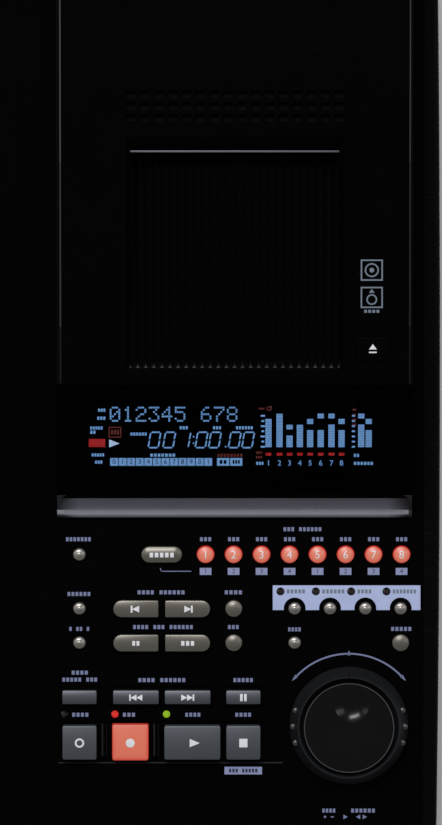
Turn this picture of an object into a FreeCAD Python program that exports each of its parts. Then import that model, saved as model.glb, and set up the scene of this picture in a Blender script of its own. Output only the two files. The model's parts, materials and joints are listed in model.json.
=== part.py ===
import FreeCAD, Part
import math
import os

# A desktop minidisc deck: a sloped control panel with keys and a jog dial, and behind it a raised
# deck block with a display, a fluted disc chute, a slot and the disc drive.
# Millimetres.  X runs to the right, Y from the front edge to the back, Z up from the table.
# Everything is modelled with X counted from the middle of the key layout and Y from the front
# edge; save() then centres the part.

V = FreeCAD.Vector
X_AXIS = V(1, 0, 0)
Y_AXIS = V(0, 1, 0)
Z_AXIS = V(0, 0, 1)

# ---------------------------------------------------------------- driving dimensions
# case
CASE_DEPTH = 390.0
PANEL_LEFT = -93.0             # side edges of the control panel, where the cheeks begin
PANEL_RIGHT = 88.5
PANEL_SEAM_X = -85.3           # a fine groove runs up the panel here
SEAM_WIDTH = 0.4
CHEEK_END = 5.6                # cheek thickness at its front and back ends
CHEEK_BOW = 1.4                # how much further the cheek stands out at mid length
CHEEK_RISE = 1.0               # cheek top above the control panel
CHEEK_NOSE = 18.0              # radius of the cheek's front top corner
CHEEK_EDGE = 2.4               # rounding of the cheek's outer top edge
CHEEK_LEDGE = 8.0              # width of the cheek's fixing ledge
CHEEK_LEDGE_T = 3.0
FOOT_HEIGHT = 5.0
FOOT_RADIUS = 9.0
FOOT_INSET_X = 14.0            # foot centre from the panel's side edge
FOOT_INSET_Y = 30.0            # foot centre from the case's front and back
FOOT_PLUG_RADIUS = 3.0
SHEET = 1.2                    # chassis sheet metal
FLOOR_SLOT_COUNT = 9           # cooling slots in the chassis floor
FLOOR_SLOT_PITCH = 15.0
FLOOR_SLOT_WIDTH = 3.0
FLOOR_SLOT_LENGTH = 40.0
FLOOR_SLOT_FRONT = 205.0       # slots' front ends behind the case's front edge
SEAT_GAP = 0.15                # clearance between parts that drop into one another
REAR_RECESS = 6.0              # the socket wall stands this far in from the back edge

# control panel
PANEL_T = 2.4
PANEL_FRONT_Z = 36.0           # height of the panel's plane at the front edge
PANEL_SLOPE = 6.0              # degrees
PANEL_FRONT_SETBACK = 1.0      # panel front face behind the cheeks' front
PANEL_NOSE = 16.0              # radius where the panel turns down at the front
PANEL_APRON_Z = 12.0           # lower edge of the panel's front apron
PANEL_BACK_RIM = 2.0           # the panel and the deck block stop this short of the back edge
PANEL_RIM = 8.0                # panel left under the deck block's front and sides

# deck block
DECK_X = 7.5                   # centre line of the deck block and the disc path
DECK_WIDTH = 151.8
DECK_WALL = 2.5
LEDGE_DEPTH = 9.8              # from the control panel to the display window
LEDGE_RISE = 12.0              # window's front edge above the control panel
DISPLAY_SLOPE = 15.0
DISPLAY_DEPTH = 47.1           # from the ledge to the step where the deck top begins
DECK_SLOPE = 8.0
DECK_CHAMFER = 1.7             # chamfer of the deck top's long side edges
WINDOW_T = 2.5
LEDGE_WALL = 2.0
LEDGE_TOE = 3.4                # depth of the rounded toe along the ledge's foot
COVE_RADIUS = 11.0
COVE_DEPTH = 2.6               # how far the cove is scooped into the ledge's face

# display tube
TUBE_SHIFT_X = -1.5            # tube's middle from the deck's centre line
TUBE_SHIFT_Y = 1.75            # and from the middle of the window
TUBE_END_ROOM = 6.9            # tube's end to the deck block's side
TUBE_EDGE_ROOM = 4.38          # tube's edge to the window's edge, along the slope
TUBE_T = 7.0
TUBE_TIP_RADIUS = 2.0          # the sealed tip at the tube's right end
TUBE_TIP_LENGTH = 4.0
TUBE_LIP = 3.0                 # how far the seat overlaps the tube all round

# chute
CHUTE_STRIP = 29.5             # deck top left on each side of the chute
CHUTE_SETBACK = 6.4            # chute's front lip behind the window
CHUTE_BEVEL = 1.55             # side bevel, seen from above
CHUTE_BEVEL_DEPTH = 2.4
CHUTE_FLOOR_T = 2.0
CHUTE_LIP_DROP = 0.5           # chute floor below the deck surface: at the front lip
SLOT_DEPTH = 14.0              # and at the slot wall, where it is never less than this
CHUTE_LAND = 3.2               # sloping land between the lip and the floor
FLUTE_COUNT = 26
FLUTE_RADIUS = 2.4
CHUTE_FLANGE = 2.5
CHUTE_FLANGE_T = 1.6
CARTRIDGE_TO_BACK = 9.4        # loaded cartridge's back edge to the case's back edge
SLOT_WALL_T = 2.5
BROW_REACH = 3.0               # the brow overhangs the slot wall by this
BROW_LIP = 0.8
SLOT_ROOM = 1.4                # slot beyond the cartridge, each side
SLOT_HEIGHT = 7.0
BROW_CLEAR = 9.3               # brow's underside above the chute floor

# slot flap
FLAP_INSET = 1.9               # flap's ends inside the slot's ends
FLAP_T = 1.0
FLAP_BARREL_R = 1.2
FLAP_PIN_R = 0.7
FLAP_PIN_LENGTH = 1.6
FLAP_GAP = 0.3                 # flap to the slot wall and to its lugs
FLAP_LUG = 2.2                 # lug's thickness, and its reach round the pin
FLAP_AXIS_Z = 9.0              # hinge axis above the chute floor
FLAP_FOOT = 0.4                # flap's lower edge above the chute floor
PIN_CLEAR = 0.05               # radial running clearance of small pins

# vents in the deck top
VENT_COLUMNS = 16
VENT_ROWS = 3
VENT_PITCH_X = 5.9
VENT_PITCH_Y = 5.0
VENT_W = 4.2
VENT_H = 3.8
VENT_SETBACK = 15.4            # middle row behind the slot wall's face

# keys
KEY_GAP = 0.25                 # between a key cap and the edge of its hole
KEY_FLANGE = 0.9               # retaining flange beyond the cap
KEY_FLANGE_T = 0.8
KEY_FLANGE_GAP = 0.05
KEY_CHAMFER = 0.45
STEM = 2.4                     # square actuator stem
SMALL_KEY = 5.3                # diameters of the round keys
LARGE_KEY = 7.2
PILL_WIDTH = 7.0
GROUP_LENGTH = 17.4
SEARCH_LENGTH = 19.1
SONG_LENGTH = 19.4
SONG_WIDTH = 5.7
TRANSPORT = 14.5
PLAY_LENGTH = 23.9
RECORD_SIZE = 15.2
EJECT_LENGTH = 14.8
EJECT_WIDTH = 9.8
SMALL_RISE = 2.2               # how far the caps stand above the panel
LARGE_RISE = 2.6
PILL_RISE = 2.6
SONG_RISE = 2.8
TRANSPORT_RISE = 4.6
EJECT_RISE = 0.6
EJECT_POST_DY = 8.2            # posts of the eject board, in front of and behind the key
EJECT_POST_RADIUS = 2.0
LIGHT_TRAVEL = 0.8
SONG_TRAVEL = 1.0
TRANSPORT_TRAVEL = 1.5
CORNER_RADIUS = 0.8            # plan corners of the square keys
TRANSPORT_CROWN = 42.0         # the square keys' tops are arched front to back to these radii
SONG_CROWN = 8.5
EJECT_BOARD_WIDTH = 12.0

# key columns and rows: X from the case's centre line, Y from the front edge
LEFT_COLUMN_X = -59.0
SELECT_FIRST_X = -4.9
SELECT_PITCH = 12.0
GROUP_X = -23.7
SEARCH_FIRST_X = -34.8
SEARCH_GAP = 3.1               # between the two halves of a split pill
MARK_GAP = 6.65                # right half to the round key beside it
FUNCTION_FIRST_X = 33.3
FUNCTION_PITCH = 15.15
RECORD_GAP = 6.95              # gaps between the transport keys, from left to right
PLAY_GAP = 7.05
STOP_GAP = 2.7
TRANSPORT_ROW_Y = 52.2
SONG_STEP = 19.3               # each row to the one in front of it
LAST_STEP = 23.3
SEARCH_STEP = 14.7
SELECT_STEP = 23.2
LEDGE_STEP = 15.7              # hindmost row to the ledge's foot
EJECT_INSET = 17.0             # eject key's middle from the deck block's right side
EJECT_SETBACK = 9.0            # and behind the chute's front lip

# wells around the transport keys, and the guard ribs beside the record key
WELL_DEPTH = 0.8
WELL_MARGIN = 1.8
WELL_LEFT = 2.15               # the transport keys' well, beyond the keys on each side
WELL_RIGHT = 9.65
WELL_FRONT = 1.75
WELL_BACK = 1.55
GUARD_WIDTH = 2.3
GUARD_LENGTH = 14.0
GUARD_RISE = 3.6
GUARD_SHIFT = 0.8              # guards' middle behind the keys' middle

# lamps
LAMP_RADIUS = 1.5
LAMP_RISE = 0.7
LAMP_GAP = 0.1
FUNCTION_LAMP_DX = -6.1        # lamp beside each function key
FUNCTION_LAMP_DY = 7.3
STATUS_LAMP_STEP = 11.8        # behind the transport keys' middle
STATUS_LAMP_X = (-65.4, -43.8, -21.7)

# jog dial and shuttle ring
DIAL_INSET = 31.9              # dial's middle from the panel's right edge
DIAL_STEP = 7.1                # and behind the transport keys' middle
RING_RADIUS = 25.4
RING_TOP_RADIUS = 22.0
RING_EDGE = 0.6                # width of the ring's flat top edge
RING_BORE = 20.2
RING_HEIGHT = 8.6
RING_CLEAR = 0.6               # ring above the panel
RING_RIM = 1.2
RING_WEB = 1.6
NUB_RADIUS = 1.1
NUB_HEIGHT = 4.0               # grip nubs' middles above the panel, on the ring's cone
NUB_STEP = 17.0                # degrees between grip nubs
JOG_RADIUS = 19.5
JOG_TOP = 9.3
JOG_BEAD = 0.6
JOG_SKIRT = 3.0
JOG_T = 3.9
DIMPLE_OFFSET = 9.8
DIMPLE_ANGLE = 83.5            # degrees from +X, seen from above
DIMPLE_SPHERE = 12.0
DIMPLE_RADIUS = 7.4
HUB_RADIUS = 6.0
JOG_SHAFT_RADIUS = 3.5
SHAFT_CLEAR = 0.08

# control board
BOARD_DEPTH = 11.0             # board's top below the panel's surface
BOARD_T = 1.6
BOARD_INSET_LEFT = 21.0        # board's edges from the panel's side edges
BOARD_INSET_RIGHT = 4.5
BOARD_FRONT_STEP = 19.2        # board's front edge before the transport keys' middle
BOARD_BACK_ROOM = 5.4          # board's back edge to the ledge's foot
SWITCH_SIZE = 6.0
SWITCH_BODY = 3.5
SWITCH_PLUNGER = 1.5
PLUNGER_SIZE = 3.0
ENCODER_SIZE = 26.0
ENCODER_BODY = 5.5
ENCODER_COLLAR = 1.4
BOSS_RADIUS = 3.2
BOARD_SCREWS = ((-68.0, 84.0), (26.0, 82.0), (-24.0, 121.0), (17.5, 121.0))

# screws
SCREW_RADIUS = 1.5
SCREW_HEAD_RADIUS = 2.8
SCREW_HEAD_T = 1.6
SCREW_CLEAR = 0.1
SCREW_END = 46.0               # cheek screws from the case's front and back
REAR_SCREW_Z = (16.0, 56.0)
PILOT_SPARE = 1.0              # a pilot hole runs this much past its screw

# rear sockets: x from the middle of the key layout, z above the table
PIN_JACK_X = (-72.0, -58.0, -44.0)
PIN_JACK_Z = (22.0, 38.0)
PIN_JACK_RADIUS = 4.2
PIN_JACK_REACH = 5.5           # out of the socket wall
PIN_JACK_BORE = 1.7
PIN_JACK_ROOT = 8.0            # body behind the wall
PIN_JACK_BODY = (11.0, 12.0)   # its width and height
DIGITAL_JACK = (-24.0, 30.0)
ROUND_SOCKET_X = (-6.0, 15.0)
ROUND_SOCKET_Z = 30.0
ROUND_SOCKET_RADIUS = 7.6
ROUND_SOCKET_REACH = 1.5
ROUND_SOCKET_ROOT = 9.0
ROUND_SOCKET_BODY = 19.0
SOCKET_WELL = 4.0              # depth of the ring that the plug's skirt enters
SOCKET_RING = (5.4, 6.6)       # its inner and outer radius
CONTACT_CIRCLE = 3.6
CONTACT_RADIUS = 0.8
CONTACT_DEPTH = 5.0
INLET_X = 46.0
INLET_Z = 30.0
INLET_WIDTH = 28.0
INLET_HEIGHT = 20.0
INLET_ROOT = 18.0
INLET_DEPTH = 14.0             # of the hollow that the connector enters
INLET_WALL = 2.0
INLET_FRAME = (4.0, 2.0)       # frame beyond the body, at its sides and top
INLET_FRAME_T = 2.0
BLADE_SIZE = (2.0, 13.0, 4.0)
BLADE_SET = ((-7.0, -1.5), (0.0, 1.5), (7.0, -1.5))

# main board; X from the deck's centre line, Y from the board's front or back edge
MAIN_BOARD_U = (-77.5, 22.5)
MAIN_BOARD_FRONT = 21.6        # board's front edge behind the ledge's foot
MAIN_BOARD_BACK = 12.8         # board's back edge before the drive
SPACER_HEIGHT = 8.0
SPACER_RADIUS = 3.0
SPACER_INSET = 6.0
POWER_BLOCK_U = (-73.5, -27.5)
POWER_BLOCK_Y = (50.0, 10.0)   # from the back edge
POWER_BLOCK_T = 34.0
CAN_U = (-19.5, -5.5, 8.5)
CAN_Y = 20.0
CAN_RADIUS = 6.0
CAN_HEIGHT = 22.0
HEAT_SINK_U = (-21.5, 10.5)
HEAT_SINK_Y = (38.0, 34.0)
HEAT_SINK_HEIGHT = 24.0
CHIPS = ((-55.5, 20.0, 20.0), (-15.0, 40.0, 24.0), (6.5, 25.0, 12.0))   # U, from the front, side
CHIP_T = 3.0

# disc drive; heights are above the chute floor, U counts from the deck's centre line and DY
# from the slot wall's face
CARTRIDGE_WIDTH = 72.0
CARTRIDGE_DEPTH = 68.0
CARTRIDGE_T = 5.0
CARRIER_GAP = 0.3              # cartridge to carrier, each side
CARRIER_SIDE_GAP = 0.7         # carrier to the posts on its right
CARRIER_T = 0.8
CARRIER_DY = 4.6
CARRIER_BACK_GAP = 0.4
CARRIER_UNDER = 0.1            # cartridge's underside above the carrier's lips
CARRIER_OVER = 0.5             # carrier's roof above the cartridge
CARRIER_TAB = 24.0             # width of the carrier's stop at the back
HEAD_WINDOW_U = 10.0           # the window in the carrier's roof for the record head
HEAD_WINDOW_HALF = 8.0
HEAD_WINDOW_Z = 3.0
CARRIER_LIP = 6.0
CARRIER_DROP = 4.0
LOADING_TRAVEL = 12.0
CARRIER_ROOF_DY = 15.0
CARRIER_PIN_R = 1.2
PIN_SLOT_GAP = 0.15            # radial clearance of the carrier's pins in their slots
PIN_Z = 2.5
LEFT_PINS_DY = (22.0, 54.0)
RIGHT_PIN_DY = 7.6             # the right pins: behind the slot wall, and from the cartridge's back
RIGHT_PIN_INSET = 7.6
DRIVE_FLOOR_Z = -17.65
LEFT_WALL_Z = 4.5
RIGHT_WALL_Z = -7.65
DRIVE_FRONT_DY = 4.8
DRIVE_BACK_INSET = 1.6         # drive's back edge before the cartridge's
DRIVE_FLANGE = 10.0            # foot of the drive's left wall
DRIVE_FLANGE_DY = 42.0
DRIVE_LEDGE_ROOM = 1.3         # right foot to the cheek's ledge
DRIVE_ROOM = 2.0               # drive's right wall to the control panel
LEFT_WALL_GAP = 0.6            # drive's left wall to the loading slider
RIGHT_WALL_GAP = 1.5           # head post to the right wall at the end of its travel
SLIDER_GAP = 1.4               # slider to the carrier
SLIDER_T = 1.2
SLIDER_LENGTH = 53.0
RACK_LINE_Z = -12.0            # rack pitch line
GEAR_MODULE = 1.0
GEAR_TEETH = 14
GEAR_T = 3.0
GEAR_DY = 37.0
GEAR_SHAFT_R = 1.5
GEAR_SHAFT_SPARE = 2.5         # shaft beyond the drive's wall
GEAR_HUB_RADIUS = 3.0
GEAR_HUB_T = 1.0
GEAR_ROOM = 1.0                # drive's floor to the gear's tips
GEAR_SIDE_ROOM = 1.5
GEAR_SIDE_GAP = 0.1            # gear to the drive's wall
PRESSURE_ANGLE = 20.0
TOOTH_SLACK = 0.12             # backlash taken off each flank
TURNTABLE_RADIUS = 9.0
TURNTABLE_Z = -2.9
TURNTABLE_T = 1.2
TURNTABLE_DISH = 4.0           # cone under the turntable
TURNTABLE_BOSS = 2.0
TURNTABLE_TIP = 1.0
SPINDLE_RADIUS = 1.0
SPINDLE_FOOT_GAP = 0.5
SPINDLE_ROOM = 1.5             # hole in the drive's floor round the spindle
SPINDLE_MOTOR_RADIUS = 10.0
SPINDLE_MOTOR_T = 5.0
SLED_MOTOR_LENGTH = 14.0
SLED_MOTOR_RADIUS = 5.0
SLED_MOTOR_GAP = 2.0           # motor to the rails' left bracket
GEARBOX_T = 8.0
GEARBOX_DY = (10.0, 14.0)      # before and behind the gear's shaft
GEARBOX_HALF = 9.0
LOADING_MOTOR_RADIUS = 7.5
LOADING_MOTOR_LENGTH = 16.0
LOADING_MOTOR_DY = 6.0
SLED_U = (11.0, 30.5)
SLED_TRAVEL = 16.0
RAIL_RADIUS = 1.5
RAIL_SPAN = 15.5               # rails each side of the spindle
RAIL_Z = -9.65
BRACKET_HALF = 3.0             # the brackets that hold the rails reach this far round them
RAIL_START_U = -4.0
RAIL_SPARE = 3.5               # rail left over at the end of the sled's travel
LEAD_SCREW_SPAN = 22.6         # lead screw before the spindle
LEAD_SCREW_GAP = 0.15
SCREW_TAIL = 7.0               # lead screw inside its motor, from the bracket's face
SCREW_SPARE = 1.0
SLED_BELOW = 4.0               # sled's block below and above the rails' axis
SLED_ABOVE = 3.0
SLED_BEHIND = 4.0
SLED_BEFORE = 3.4              # and before the lead screw
LENS_RADIUS = 3.0
LENS_U = 5.0
LENS_RISE = 1.2
TONGUE_HALF = 5.0
TONGUE_T = 2.0
EAR_T = 1.0
EAR_RISE = 2.0
HEAD_REST = 0.6                # post's top below the head's shaft
HEAD_POST_GAP = 2.0            # sled's post to the drive's right posts
HEAD_POST_T = 2.0
HEAD_AXIS_Z = 9.5
HEAD_AXIS_R = 1.0
HEAD_AXIS_CUT = 0.1            # shaft's ends inside the ears' faces
ARM_HALF = 3.6
ARM_T = 1.0
PAD_U = 2.0
PAD_LENGTH = 6.0
PAD_HALF = 3.0
PAD_Z = 7.0

# ---------------------------------------------------------------- worked-out values
PANEL_MIDDLE = (PANEL_LEFT + PANEL_RIGHT) / 2
PANEL_BACK = CASE_DEPTH - PANEL_BACK_RIM
CHASSIS_Z = FOOT_HEIGHT
CHASSIS_TOP = CHASSIS_Z + SHEET
REAR_WALL_Y = CASE_DEPTH - REAR_RECESS

SONG_ROW_Y = TRANSPORT_ROW_Y + SONG_STEP
LAST_ROW_Y = SONG_ROW_Y + LAST_STEP
SEARCH_ROW_Y = LAST_ROW_Y + SEARCH_STEP
SELECT_ROW_Y = SEARCH_ROW_Y + SELECT_STEP
SEARCH_X = (SEARCH_FIRST_X, SEARCH_FIRST_X + SEARCH_LENGTH + SEARCH_GAP)
MARK_X = SEARCH_X[1] + SEARCH_LENGTH / 2 + MARK_GAP + LARGE_KEY / 2
RECORD_LEFT = LEFT_COLUMN_X + TRANSPORT / 2 + RECORD_GAP
RECORD_X = RECORD_LEFT + RECORD_SIZE / 2
PLAY_LEFT = RECORD_LEFT + RECORD_SIZE + PLAY_GAP
PLAY_X = PLAY_LEFT + PLAY_LENGTH / 2
STOP_X = PLAY_LEFT + PLAY_LENGTH + STOP_GAP + TRANSPORT / 2
STATUS_LAMP_Y = TRANSPORT_ROW_Y + STATUS_LAMP_STEP
DIAL_X = PANEL_RIGHT - DIAL_INSET
DIAL_Y = TRANSPORT_ROW_Y + DIAL_STEP
GUARD_X = (RECORD_LEFT - RECORD_GAP / 2, PLAY_LEFT - PLAY_GAP / 2)
GUARD_Y = TRANSPORT_ROW_Y + GUARD_SHIFT

LEDGE_FRONT = SELECT_ROW_Y + LEDGE_STEP
LEDGE_BACK = LEDGE_FRONT + LEDGE_DEPTH
DISPLAY_BACK = LEDGE_BACK + DISPLAY_DEPTH
CHUTE_FRONT = DISPLAY_BACK + CHUTE_SETBACK
SLOT_WALL_FACE = CASE_DEPTH - CARTRIDGE_TO_BACK - CARTRIDGE_DEPTH - CARRIER_DY
CHUTE_BACK = SLOT_WALL_FACE + SLOT_WALL_T
CHUTE_WIDTH = DECK_WIDTH - 2 * CHUTE_STRIP
SLOT_WIDTH = CARTRIDGE_WIDTH + 2 * SLOT_ROOM
FLAP_WIDTH = SLOT_WIDTH - 2 * FLAP_INSET
TUBE_X = DECK_X + TUBE_SHIFT_X
TUBE_Y = (LEDGE_BACK + DISPLAY_BACK) / 2 + TUBE_SHIFT_Y
TUBE_LENGTH = DECK_WIDTH - 2 * TUBE_END_ROOM


def tan(degrees):
    return math.tan(math.radians(degrees))


def cos(degrees):
    return math.cos(math.radians(degrees))


def sin(degrees):
    return math.sin(math.radians(degrees))


def panel_z(y):
    """Height of the control panel's top surface."""
    return PANEL_FRONT_Z + y * tan(PANEL_SLOPE)


DISPLAY_FRONT_Z = panel_z(LEDGE_BACK) + LEDGE_RISE


def display_z(y):
    """Height of the display window's top surface."""
    return DISPLAY_FRONT_Z + (y - LEDGE_BACK) * tan(DISPLAY_SLOPE)


DECK_FRONT_Z = display_z(DISPLAY_BACK)


def deck_z(y):
    """Height of the deck block's sloping top."""
    return DECK_FRONT_Z + (y - DISPLAY_BACK) * tan(DECK_SLOPE)


TUBE_WIDTH = DISPLAY_DEPTH / cos(DISPLAY_SLOPE) - 2 * TUBE_EDGE_ROOM
DECK_LEFT = DECK_X - DECK_WIDTH / 2
DECK_RIGHT = DECK_X + DECK_WIDTH / 2
EJECT_X = DECK_RIGHT - EJECT_INSET
EJECT_Y = CHUTE_FRONT + EJECT_SETBACK
CHUTE_FLOOR_Z = min(deck_z(CHUTE_FRONT) - CHUTE_LIP_DROP, deck_z(SLOT_WALL_FACE) - SLOT_DEPTH)
CHUTE_INNER = CHUTE_WIDTH - 2 * (CHUTE_BEVEL + SEAT_GAP)
FLUTE_PITCH = CHUTE_INNER / FLUTE_COUNT


def above_floor(height):
    return CHUTE_FLOOR_Z + height


def behind_slot(distance):
    return SLOT_WALL_FACE + distance


def u(value):
    """X of a place counted from the deck's centre line."""
    return DECK_X + value


CARRIER_FRONT = behind_slot(CARRIER_DY)
CARRIER_ROOF_FRONT = behind_slot(CARRIER_ROOF_DY)
CARTRIDGE_BACK = CARRIER_FRONT + CARTRIDGE_DEPTH
LEFT_PINS_Y = [behind_slot(y) for y in LEFT_PINS_DY]
RIGHT_PINS_Y = (behind_slot(RIGHT_PIN_DY), CARTRIDGE_BACK - RIGHT_PIN_INSET)
DRIVE_Y = (behind_slot(DRIVE_FRONT_DY), CARTRIDGE_BACK - DRIVE_BACK_INSET)
CARRIER_INNER = CARTRIDGE_WIDTH / 2 + CARRIER_GAP
CARRIER_OUTER = CARRIER_INNER + CARRIER_T
RIGHT_POST_U = CARRIER_OUTER + CARRIER_SIDE_GAP
SLIDER_U = -CARRIER_OUTER - SLIDER_GAP - SLIDER_T
LEFT_WALL_U = SLIDER_U - LEFT_WALL_GAP - SHEET
HEAD_POST_LEFT = RIGHT_POST_U + SHEET + HEAD_POST_GAP
HEAD_POST_U = (HEAD_POST_LEFT, HEAD_POST_LEFT + HEAD_POST_T)
GEAR_Y = behind_slot(GEAR_DY)
DISC_Y = CARRIER_FRONT + CARTRIDGE_DEPTH / 2
LEAD_SCREW_Y = DISC_Y - LEAD_SCREW_SPAN
DRIVE_FLOOR = (above_floor(DRIVE_FLOOR_Z), above_floor(DRIVE_FLOOR_Z) + SHEET)
RAIL_AXIS_Z = above_floor(RAIL_Z)
RAIL_U = (RAIL_START_U, SLED_U[1] + SLED_TRAVEL + RAIL_SPARE)
RIGHT_WALL_U = HEAD_POST_U[1] + SLED_TRAVEL + RIGHT_WALL_GAP + SHEET
SLOT_RADIUS = CARRIER_PIN_R + PIN_SLOT_GAP
BOARD_X = (PANEL_LEFT + BOARD_INSET_LEFT, PANEL_RIGHT - BOARD_INSET_RIGHT)
BOARD_Y = (TRANSPORT_ROW_Y - BOARD_FRONT_STEP, LEDGE_FRONT - BOARD_BACK_ROOM)

# ---------------------------------------------------------------- helpers


def box(x, y, z):
    """A box from (low, high) pairs."""
    return Part.makeBox(x[1] - x[0], y[1] - y[0], z[1] - z[0], V(x[0], y[0], z[0]))


def face_of(points):
    """A flat face from a closed run of points."""
    return Part.Face(Part.makePolygon(points + [points[0]]))


def side_prism(profile, x):
    """A (y, z) outline carried across from x[0] to x[1]."""
    return face_of([V(x[0], y, z) for y, z in profile]).extrude(V(x[1] - x[0], 0, 0))


def rounded_prism(profile, x, radius, corner):
    """side_prism with the one long edge at corner, a (y, z) point, rounded."""
    solid = side_prism(profile, x)
    near = [e for e in solid.Edges if runs_along_x(e) and near_line(e, corner)]
    return solid.makeFillet(radius, near)


def runs_along_x(edge):
    ends = [v.Point for v in edge.Vertexes]
    return len(ends) == 2 and abs(ends[0].y - ends[1].y) + abs(ends[0].z - ends[1].z) < 1e-6


def near_line(edge, corner):
    point = edge.Vertexes[0].Point
    return abs(point.y - corner[0]) + abs(point.z - corner[1]) < 1e-4


def cylinder(radius, base, axis, length):
    return Part.makeCylinder(radius, length, base, axis)


def on_panel(x, y):
    """The panel's own frame at a point: x across, y up the slope, z out of the surface."""
    return FreeCAD.Placement(V(x, y, panel_z(y)), FreeCAD.Rotation(X_AXIS, PANEL_SLOPE))


def on_display(x, y):
    return FreeCAD.Placement(V(x, y, display_z(y)), FreeCAD.Rotation(X_AXIS, DISPLAY_SLOPE))


def on_deck(x, y):
    return FreeCAD.Placement(V(x, y, deck_z(y)), FreeCAD.Rotation(X_AXIS, DECK_SLOPE))


def placed(shape, frame):
    moved = shape.copy()
    moved.Placement = frame.multiply(moved.Placement)
    return moved


def fuse(parts):
    whole = parts[0].multiFuse(parts[1:]) if len(parts) > 1 else parts[0]
    return whole.removeSplitter()


def cut(shape, tools):
    return shape.cut(Part.makeCompound(tools)) if tools else shape


def save(name, *solids):
    """Writes parts/NAME.step with the origin under the middle of the whole deck."""
    found = [s for shape in solids for s in shape.Solids]
    whole = found[0] if len(found) == 1 else Part.makeCompound(found)
    whole = whole.copy()
    whole.translate(V(-PANEL_MIDDLE, -CASE_DEPTH / 2, 0))
    whole.exportStep("parts/" + name + ".step")


# ---------------------------------------------------------------- key outlines


def round_face(diameter, grow, z):
    ring = Part.Wire(Part.makeCircle(diameter / 2 + grow, V(0, 0, z)))
    return Part.Face(ring)


def arc(start, middle, end):
    return Part.Arc(start, middle, end).toShape()


def slot_face(length, width, grow, z, round_left=True, round_right=True):
    """A pill, or half a pill with one square end."""
    half = length / 2 + grow
    r = width / 2 + grow
    left = -half + r if round_left else -half
    right = half - r if round_right else half
    edges = [Part.makeLine(V(left, -r, z), V(right, -r, z))]
    if round_right:
        edges.append(arc(V(right, -r, z), V(half, 0, z), V(right, r, z)))
    else:
        edges.append(Part.makeLine(V(right, -r, z), V(right, r, z)))
    edges.append(Part.makeLine(V(right, r, z), V(left, r, z)))
    if round_left:
        edges.append(arc(V(left, r, z), V(-half, 0, z), V(left, -r, z)))
    else:
        edges.append(Part.makeLine(V(left, r, z), V(left, -r, z)))
    return Part.Face(Part.Wire(edges))


def square_face(length, width, grow, z):
    """A rectangle with small rounded corners."""
    x, y = length / 2 + grow, width / 2 + grow
    r = CORNER_RADIUS
    d = r * (1 - cos(45))
    corners = [(1, -1), (1, 1), (-1, 1), (-1, -1)]
    edges = []
    for n, (sx, sy) in enumerate(corners):
        nx, ny = corners[(n + 1) % 4]
        along_y = sx == nx
        enter = V(sx * (x - r), sy * y, z) if along_y else V(sx * x, sy * (y - r), z)
        leave = V(sx * x, sy * (y - r), z) if along_y else V(sx * (x - r), sy * y, z)
        edges.append(arc(enter, V(sx * (x - d), sy * (y - d), z), leave))
        arrive = V(nx * x, ny * (y - r), z) if along_y else V(nx * (x - r), ny * y, z)
        edges.append(Part.makeLine(leave, arrive))
    return Part.Face(Part.Wire(edges))


class Key:
    """One key: its name, where it is, the shape of its cap and how it moves."""

    def __init__(self, name, x, y, outline, rise, travel, crown=None, frame=on_panel):
        self.name = name
        self.x = x
        self.y = y
        self.outline = outline
        self.rise = rise
        self.travel = travel
        self.crown = crown
        self.frame = frame(x, y)
        self.wall = PANEL_T if frame is on_panel else DECK_WALL

    def hole(self):
        """The opening that the cap moves in, through the whole wall."""
        face = self.outline(KEY_GAP, -2 * self.wall)
        return placed(face.extrude(V(0, 0, 3 * self.wall)), self.frame)

    def solid(self):
        """Cap, retaining flange and stem, in the key's own frame and then set in place."""
        under = -self.wall - KEY_FLANGE_GAP
        cap = self.outline(0, under).extrude(V(0, 0, self.rise - under))
        if self.crown:
            centre = V(-PLAY_LENGTH, 0, self.rise - self.crown)
            arch = cylinder(self.crown, centre, X_AXIS, 2 * PLAY_LENGTH)
            foot = box((-PLAY_LENGTH, PLAY_LENGTH), (-PLAY_LENGTH, PLAY_LENGTH), (under, 0))
            cap = cap.common(fuse([arch, foot]))
        top = max(cap.Faces, key=lambda face: face.CenterOfMass.z)
        cap = cap.makeChamfer(KEY_CHAMFER, top.Edges)
        flange = self.outline(KEY_FLANGE, under - KEY_FLANGE_T).extrude(V(0, 0, KEY_FLANGE_T))
        foot = switch_top() + self.travel + KEY_FLANGE_GAP
        half = STEM / 2
        stem = box((-half, half), (-half, half), (foot, under - KEY_FLANGE_T / 2))
        return placed(fuse([cap, flange, stem]), self.frame)


def switch_top():
    """The rest height of a switch's plunger in a key's frame."""
    return -BOARD_DEPTH + SWITCH_BODY + SWITCH_PLUNGER


def small_round(grow, z):
    return round_face(SMALL_KEY, grow, z)


def large_round(grow, z):
    return round_face(LARGE_KEY, grow, z)


def group_pill(grow, z):
    return slot_face(GROUP_LENGTH, PILL_WIDTH, grow, z)


def left_pill(grow, z):
    return slot_face(SEARCH_LENGTH, PILL_WIDTH, grow, z, round_right=False)


def right_pill(grow, z):
    return slot_face(SEARCH_LENGTH, PILL_WIDTH, grow, z, round_left=False)


def song_short(grow, z):
    return square_face(TRANSPORT, SONG_WIDTH, grow, z)


def song_long(grow, z):
    return square_face(SONG_LENGTH, SONG_WIDTH, grow, z)


def transport_square(grow, z):
    return square_face(TRANSPORT, TRANSPORT, grow, z)


def transport_wide(grow, z):
    return square_face(PLAY_LENGTH, TRANSPORT, grow, z)


def record_square(grow, z):
    return square_face(RECORD_SIZE, RECORD_SIZE, grow, z)


def eject_pill(grow, z):
    return square_face(EJECT_LENGTH, EJECT_WIDTH, grow, z)


def function_x(n):
    return FUNCTION_FIRST_X + n * FUNCTION_PITCH


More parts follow.
